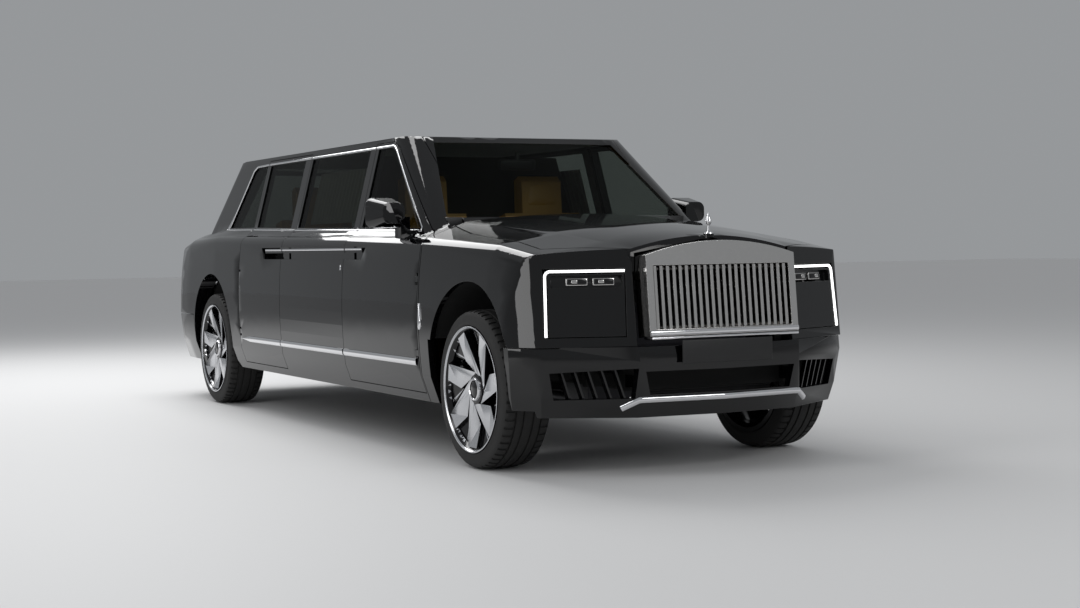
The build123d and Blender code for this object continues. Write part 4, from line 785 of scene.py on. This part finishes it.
# %% [markdown]
# Each headlamp is a black panel with two slim projectors near its top, and a glowing strip
# runs along its top and down its outer edge round a rounded corner. Everything in it is
# placed in the lamp's own plane, which leans back with the nose: u runs outward along it,
# v up it, and out is the way it faces.

# %% Lamp modules
LAMP_IN, LAMP_OUT = Vector((0.450, front(-775.0), 0.85)), Vector((0.880, front(-600.0), 0.85))
along = (LAMP_OUT - LAMP_IN).normalized()
facing = Vector((along.y, -along.x, NOSE_LEAN * along.x)).normalized()
upward = facing.cross(along)
lamp_middle = (LAMP_IN + LAMP_OUT) / 2


def lamp_spot(side, u, v, out):
    """A point in a lamp's plane, in metres from its middle."""
    spot = lamp_middle + along * u + upward * v + facing * out
    return Vector((spot.x * side, spot.y, spot.z))


def lamp_turn(side):
    """The turn that carries X to u, Y to the way the lamp faces and Z to v."""
    axes = [Vector((a.x * side, a.y, a.z)) for a in (along, facing, upward)]
    if side > 0:
        axes[0] = -axes[0]
    return Matrix(axes).transposed()


STRIP_IN, STRIP_OUT, STRIP_LOW, STRIP_TOP, CORNER = -0.186, 0.200, -0.161, 0.156, 0.026
STRIP_WIDTH, STRIP_RISE, STRIP_BASE = 0.013, 0.006, -0.001
BEND_U, BEND_V, PARTS, BEND_PARTS = STRIP_OUT - CORNER, STRIP_TOP - CORNER, 6, 10
line = [(STRIP_IN + (BEND_U - STRIP_IN) * i / PARTS, STRIP_TOP) for i in range(PARTS + 1)]
for i in range(1, BEND_PARTS + 1):
    angle = math.radians(90.0 * i / BEND_PARTS)
    line.append((BEND_U + CORNER * math.sin(angle), BEND_V + CORNER * math.cos(angle)))
line += [(STRIP_OUT, BEND_V - (BEND_V - STRIP_LOW) * i / PARTS) for i in range(1, PARTS + 1)]
PROJECTORS, PROJECTOR_V = (-0.085, 0.045), 0.105
# Columns: piece, shift outward, height in front of the plane, size, edge, slot, material.
PROJECTOR_PARTS = (
    ("frame", 0.0, -0.018, (0.108, 0.016, 0.040), 0.006, "chrome_trim", POLISHED),
    ("lens", 0.0, -0.012, (0.096, 0.014, 0.028), 0.006, "lamp_black", LAMP_BLACK),
    ("eye", 0.012, -0.006, (0.030, 0.010, 0.018), 0.004, "lamp_white", POLISHED))
for name, side in SIDES:
    facing_out = Vector((facing.x * side, facing.y, facing.z))
    path = [(lamp_spot(side, u, v, STRIP_BASE), facing_out) for u, v in line]
    glow = moulding(f"running_light_{name}", path, "body", GLOW, STRIP_WIDTH, STRIP_RISE)
    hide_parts("lamp_strips")
    for k, u in enumerate(PROJECTORS):
        for part, shift, out, size, radius, slot, material in PROJECTOR_PARTS:
            rounded_block(f"projector_{part}_{k}_{name}", lamp_spot(side, u + shift, PROJECTOR_V, out),
                          size, radius, "body", material, lamp_turn(side))
print("lamp modules placed")

# %% [markdown]
# The seats are upholstered: foam under hide, stitched round the edge, so that the middle
# stands up and the seams stay tight. Each pad starts as a slightly small rounded block and
# is blown up gently as cloth, which gives the hide its real swell and soft corners.

# %% Seat pads
PAD_VOXEL, PAD_PRESSURE, PAD_FRAMES, PAD_MOST = 0.009, 4.0, 14, 0.022
PAD_SMALLER, PAD_ROUND = 0.012, 0.36
HIDE_STRETCH, HIDE_BEND, HIDE_QUALITY = 40.0, 2.0, 5


def pad_block(name, size):
    """A slightly small rounded block, remeshed into even small faces."""
    form = block_form([v - PAD_SMALLER for v in size], min(size) * PAD_ROUND, 4)
    block = bpy.data.objects.new(name + "_block", write_form(form, bpy.data.meshes.new(name)))
    bpy.context.scene.collection.objects.link(block)
    even = block.modifiers.new("even_faces", "REMESH")
    even.mode, even.voxel_size = "VOXEL", PAD_VOXEL
    return block


def settled(block, frames):
    """The block's mesh after its modifiers have run for a number of frames."""
    scene = bpy.context.scene
    for f in range(1, frames + 1):
        scene.frame_set(f)
    graph = bpy.context.evaluated_depsgraph_get()
    mesh = bpy.data.meshes.new_from_object(block.evaluated_get(graph))
    scene.frame_set(1)
    return mesh


def swollen(name, size):
    """A pad's mesh blown up gently as cloth, no vertex further than PAD_MOST."""
    block = pad_block(name, size)
    even = settled(block, 1)
    block.modifiers.clear()
    block.data = even
    cloth = block.modifiers.new("hide", "CLOTH")
    cloth.settings.quality = HIDE_QUALITY
    cloth.settings.tension_stiffness = cloth.settings.compression_stiffness = HIDE_STRETCH
    cloth.settings.bending_stiffness = HIDE_BEND
    cloth.settings.use_pressure = True
    cloth.settings.uniform_pressure_force = PAD_PRESSURE
    cloth.settings.effector_weights.gravity = 0.0
    cloth.point_cache.frame_start, cloth.point_cache.frame_end = 1, PAD_FRAMES
    blown = settled(block, PAD_FRAMES)
    for before, after in zip(even.vertices, blown.vertices):
        step = after.co - before.co
        if step.length > PAD_MOST:
            after.co = before.co + step * (PAD_MOST / step.length)
    even = blown
    bpy.data.objects.remove(block)
    for face in even.polygons:
        face.use_smooth = True
    return even


# Columns: pad, place behind the seat's front edge, height above the floor, size, tilt.
PADS = (("cushion", 0.262, 0.372, (0.480, 0.480, 0.100), math.radians(2.9)),
        ("back", 0.592, 0.680, (0.470, 0.110, 0.500), math.radians(-14.8)),
        ("headrest", 0.706, 1.048, (0.270, 0.130, 0.215), math.radians(-8.0)))
pad_shapes = {label: swollen("pad_" + label, size) for label, _, _, size, _ in PADS}
print("pad shapes", {label: len(mesh.polygons) for label, mesh in pad_shapes.items()}, "faces")

# %% [markdown]
# The same three pads serve both rows and both sides. Each is tilted with the seat's frame
# and set on it.

# %% Put the pads on the seats
SEAT_X, SEAT_BASE = 0.400, 0.405
ROWS = (("front", front(1180.0)), ("rear", rear(-1330.0)))
for row, seat_y in ROWS:
    for name, side in SIDES:
        for label, back, height, size, tilt in PADS:
            mesh = pad_shapes[label].copy()
            mesh.transform(Matrix.Rotation(tilt, 4, "X"))
            mesh.transform(Matrix.Translation((side * SEAT_X, seat_y + back, SEAT_BASE + height)))
            piece = own_piece(f"{row}_{label}_{name}", mesh, "body", TAN_HIDE)
            soften = piece.modifiers.new("finer", "SUBSURF")
            soften.levels, soften.render_levels = 1, 1
print("pads", len(ROWS) * len(SIDES) * len(PADS))

# %% [markdown]
# Behind the smoked glass: a pale blind over the long middle window on each side, and a
# small mirror on a stalk behind the windscreen. A rubber seal closes each foot of the screen.

# %% Blinds and inside mirror
glass = tree_of([frame["nodes"]["fixed_side_glass"]])
BLIND_IN, BLIND_COLUMNS, BLIND_ROWS, BLIND_THICK, PLEAT = 0.045, 60, 8, 0.0015, 0.004
BLIND_START, BLIND_LENGTH, BLIND_LOW, BLIND_HEIGHT = front(1905.0), 0.90, 1.300, 0.330
for name, side in SIDES:
    form = bmesh.new()
    bmesh.ops.create_grid(form, x_segments=BLIND_COLUMNS, y_segments=BLIND_ROWS, size=0.5)
    for v in form.verts:
        y = BLIND_START + (v.co.x + 0.5) * BLIND_LENGTH
        z = BLIND_LOW + (v.co.y + 0.5) * BLIND_HEIGHT
        place, normal = on_side(glass, side, y, z)
        pleat = PLEAT * math.sin((v.co.x + 0.5) * BLIND_COLUMNS * math.pi / 2)
        v.co = place - normal * (BLIND_IN + pleat)
    bmesh.ops.recalc_face_normals(form, faces=form.faces)
    bmesh.ops.solidify(form, geom=form.faces[:], thickness=BLIND_THICK)
    mesh = write_form(form, bpy.data.meshes.new(f"window_blind_{name}"))
    own_piece(f"window_blind_{name}", mesh, "body", BLIND_CLOTH)
black_block("inside_mirror", (0.0, front(1372.0), 1.618), (0.240, 0.030, 0.065), 0.012,
            turn=Matrix.Rotation(math.radians(12.0), 3, "X"))
black_block("inside_mirror_stalk", (0.0, front(1366.0), 1.665), (0.022, 0.022, 0.060), 0.005)
SEAL_X, SEAL_Y, SEAL_Z = 0.715, -1.645, 1.264
for name, side in SIDES:
    black_block(f"screen_foot_seal_{name}", (side * SEAL_X, SEAL_Y, SEAL_Z), (0.10, 0.060, 0.058), 0.006)
print("blinds, mirror and screen seals placed")

# %% [markdown]
# The door mirrors carry a slim bright edge under the head and a silvered pane at the back;
# the exhaust ends in two squared bright tips under the bumper; and the rear plate is blank.

# %% Mirror panes, exhaust tips and rear plate
for name, side in SIDES:
    door, head_back = f"door_front_{name}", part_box(f"mirror_{name}")[1][1]
    rounded_block(f"mirror_pane_{name}", (side * 0.990, head_back + 0.001, 1.325), (0.158, 0.006, 0.134),
                  0.0025, door, CHROME)
    rounded_block(f"mirror_edge_{name}", (side * 0.988, front(1030.0), 1.2425), (0.120, 0.120, 0.007),
                  0.003, door, CHROME)
    rounded_block(f"exhaust_tip_{name}", (side * 0.570, rear(1092.0), 0.290), (0.156, 0.030, 0.070),
                  0.010, "body", POLISHED)
    rounded_block(f"exhaust_mouth_{name}", (side * 0.570, rear(1102.0), 0.290), (0.132, 0.020, 0.046),
                  0.008, "body", DARK_STEEL)
gate = tree_of([dressed["tailgate_lower"]])
place, normal = on_face(gate, -1, 0.0, 0.760)
black_block("rear_plate", place + normal * 0.008, (PLATE_W, 0.010, PLATE_H), 0.003, "tailgate_lower")
print("tail pieces placed")

# %% [markdown]
# Everything else that keeps its solid's shape gets its finish on the solid itself, with
# no copy: we only assign a material to the solid's own slots.

# %% Finish the other solids
stood_in = set(dressed) | {f"{kind}_{end}_{name}" for kind in ("rim", "tyre") for end, _ in AXLES
                           for name, _ in SIDES}
for node, thing in frame["nodes"].items():
    if node in stood_in:
        continue
    finish = SCREEN_GLASS if node == "windscreen" else FINISHES[slot_of_node[node]]
    for place in thing.material_slots:
        place.material = finish
print("finished", len(frame["nodes"]) - len(stood_in), "solids in place")

# %% [markdown]
# The portrait studio starts with a plain pale floor.

# %% Floor
FLOOR_HALF = 60.0
bpy.context.scene.view_settings.view_transform = "Standard"
floor_form = bmesh.new()
bmesh.ops.create_grid(floor_form, x_segments=1, y_segments=1, size=FLOOR_HALF)
floor_mesh = write_form(floor_form, bpy.data.meshes.new("studio_floor"))
floor = bpy.data.objects.new("studio_floor", floor_mesh)
bpy.context.scene.collection.objects.link(floor)
floor_material, tree, out = start_material("studio_floor_paint")
floor_shader = add_node(tree, "ShaderNodeBsdfPrincipled",
                        {"Base Color": linear("#C9C9C9"), "Roughness": 0.6})
tree.links.new(floor_shader.outputs["BSDF"], out.inputs["Surface"])
floor_mesh.materials.append(floor_material)
print("floor", 2 * FLOOR_HALF, "m across")

# %% [markdown]
# Round it lies a plain pale surround. What the camera and the reflections see of it is set
# apart from the light that it gives.

# %% Surround
SURROUND_LIGHT = 0.55
world = bpy.data.worlds.new("studio_surround")
bpy.context.scene.world = world
world.use_nodes = True
tree = world.node_tree
tree.nodes.clear()
out = add_node(tree, "ShaderNodeOutputWorld")
ray = add_node(tree, "ShaderNodeLightPath")
seen = add_node(tree, "ShaderNodeMath", None, {0: ray.outputs["Is Camera Ray"],
                                              1: ray.outputs["Is Glossy Ray"]}, operation="MAXIMUM")
seen = add_node(tree, "ShaderNodeMath", None, {0: seen.outputs[0],
                                              1: ray.outputs["Is Transmission Ray"]}, operation="MAXIMUM")
lit = add_node(tree, "ShaderNodeBackground", {"Color": linear("#F2F4F7"), "Strength": SURROUND_LIGHT})
shown = add_node(tree, "ShaderNodeBackground", {"Color": linear("#C4C7CA"), "Strength": SURROUND_LIGHT})
mix = add_node(tree, "ShaderNodeMixShader", None, {"Fac": seen.outputs[0]})
tree.links.new(lit.outputs["Background"], mix.inputs[1])
tree.links.new(shown.outputs["Background"], mix.inputs[2])
tree.links.new(mix.outputs["Shader"], out.inputs["Surface"])
print("surround ready")

# %% [markdown]
# Three large soft lamps: one overhead behind the cabin, where the windscreen doesn't mirror
# it, one at the camera's side for the doors, and one high ahead for the nose.

# %% Lamps
def soft_lamp(name, place, target, width, length, watts):
    """A rectangular soft lamp that faces a point."""
    data = bpy.data.lights.new(name, "AREA")
    data.shape, data.size, data.size_y, data.energy = "RECTANGLE", width, length, watts
    lamp = bpy.data.objects.new(name, data)
    lamp.location = place
    lamp.rotation_mode = "QUATERNION"
    lamp.rotation_quaternion = (Vector(target) - Vector(place)).to_track_quat("-Z", "Y")
    bpy.context.scene.collection.objects.link(lamp)


# Columns: lamp, its place, what it faces, width, length, watts.
LAMPS = (("overhead_lamp", (-1.0, 4.8, 6.0), (-0.3, 2.6, 0.0), 4.4, 8.0, 520.0),
         ("side_lamp", (-8.0, -3.0, 4.5), (0.0, 0.0, 0.8), 3.0, 8.0, 240.0),
         ("front_lamp", (2.0, -11.0, 5.5), (0.0, -3.0, 0.8), 6.0, 2.5, 220.0))
for settings in LAMPS:
    soft_lamp(*settings)
print("studio lamps", len(LAMPS))
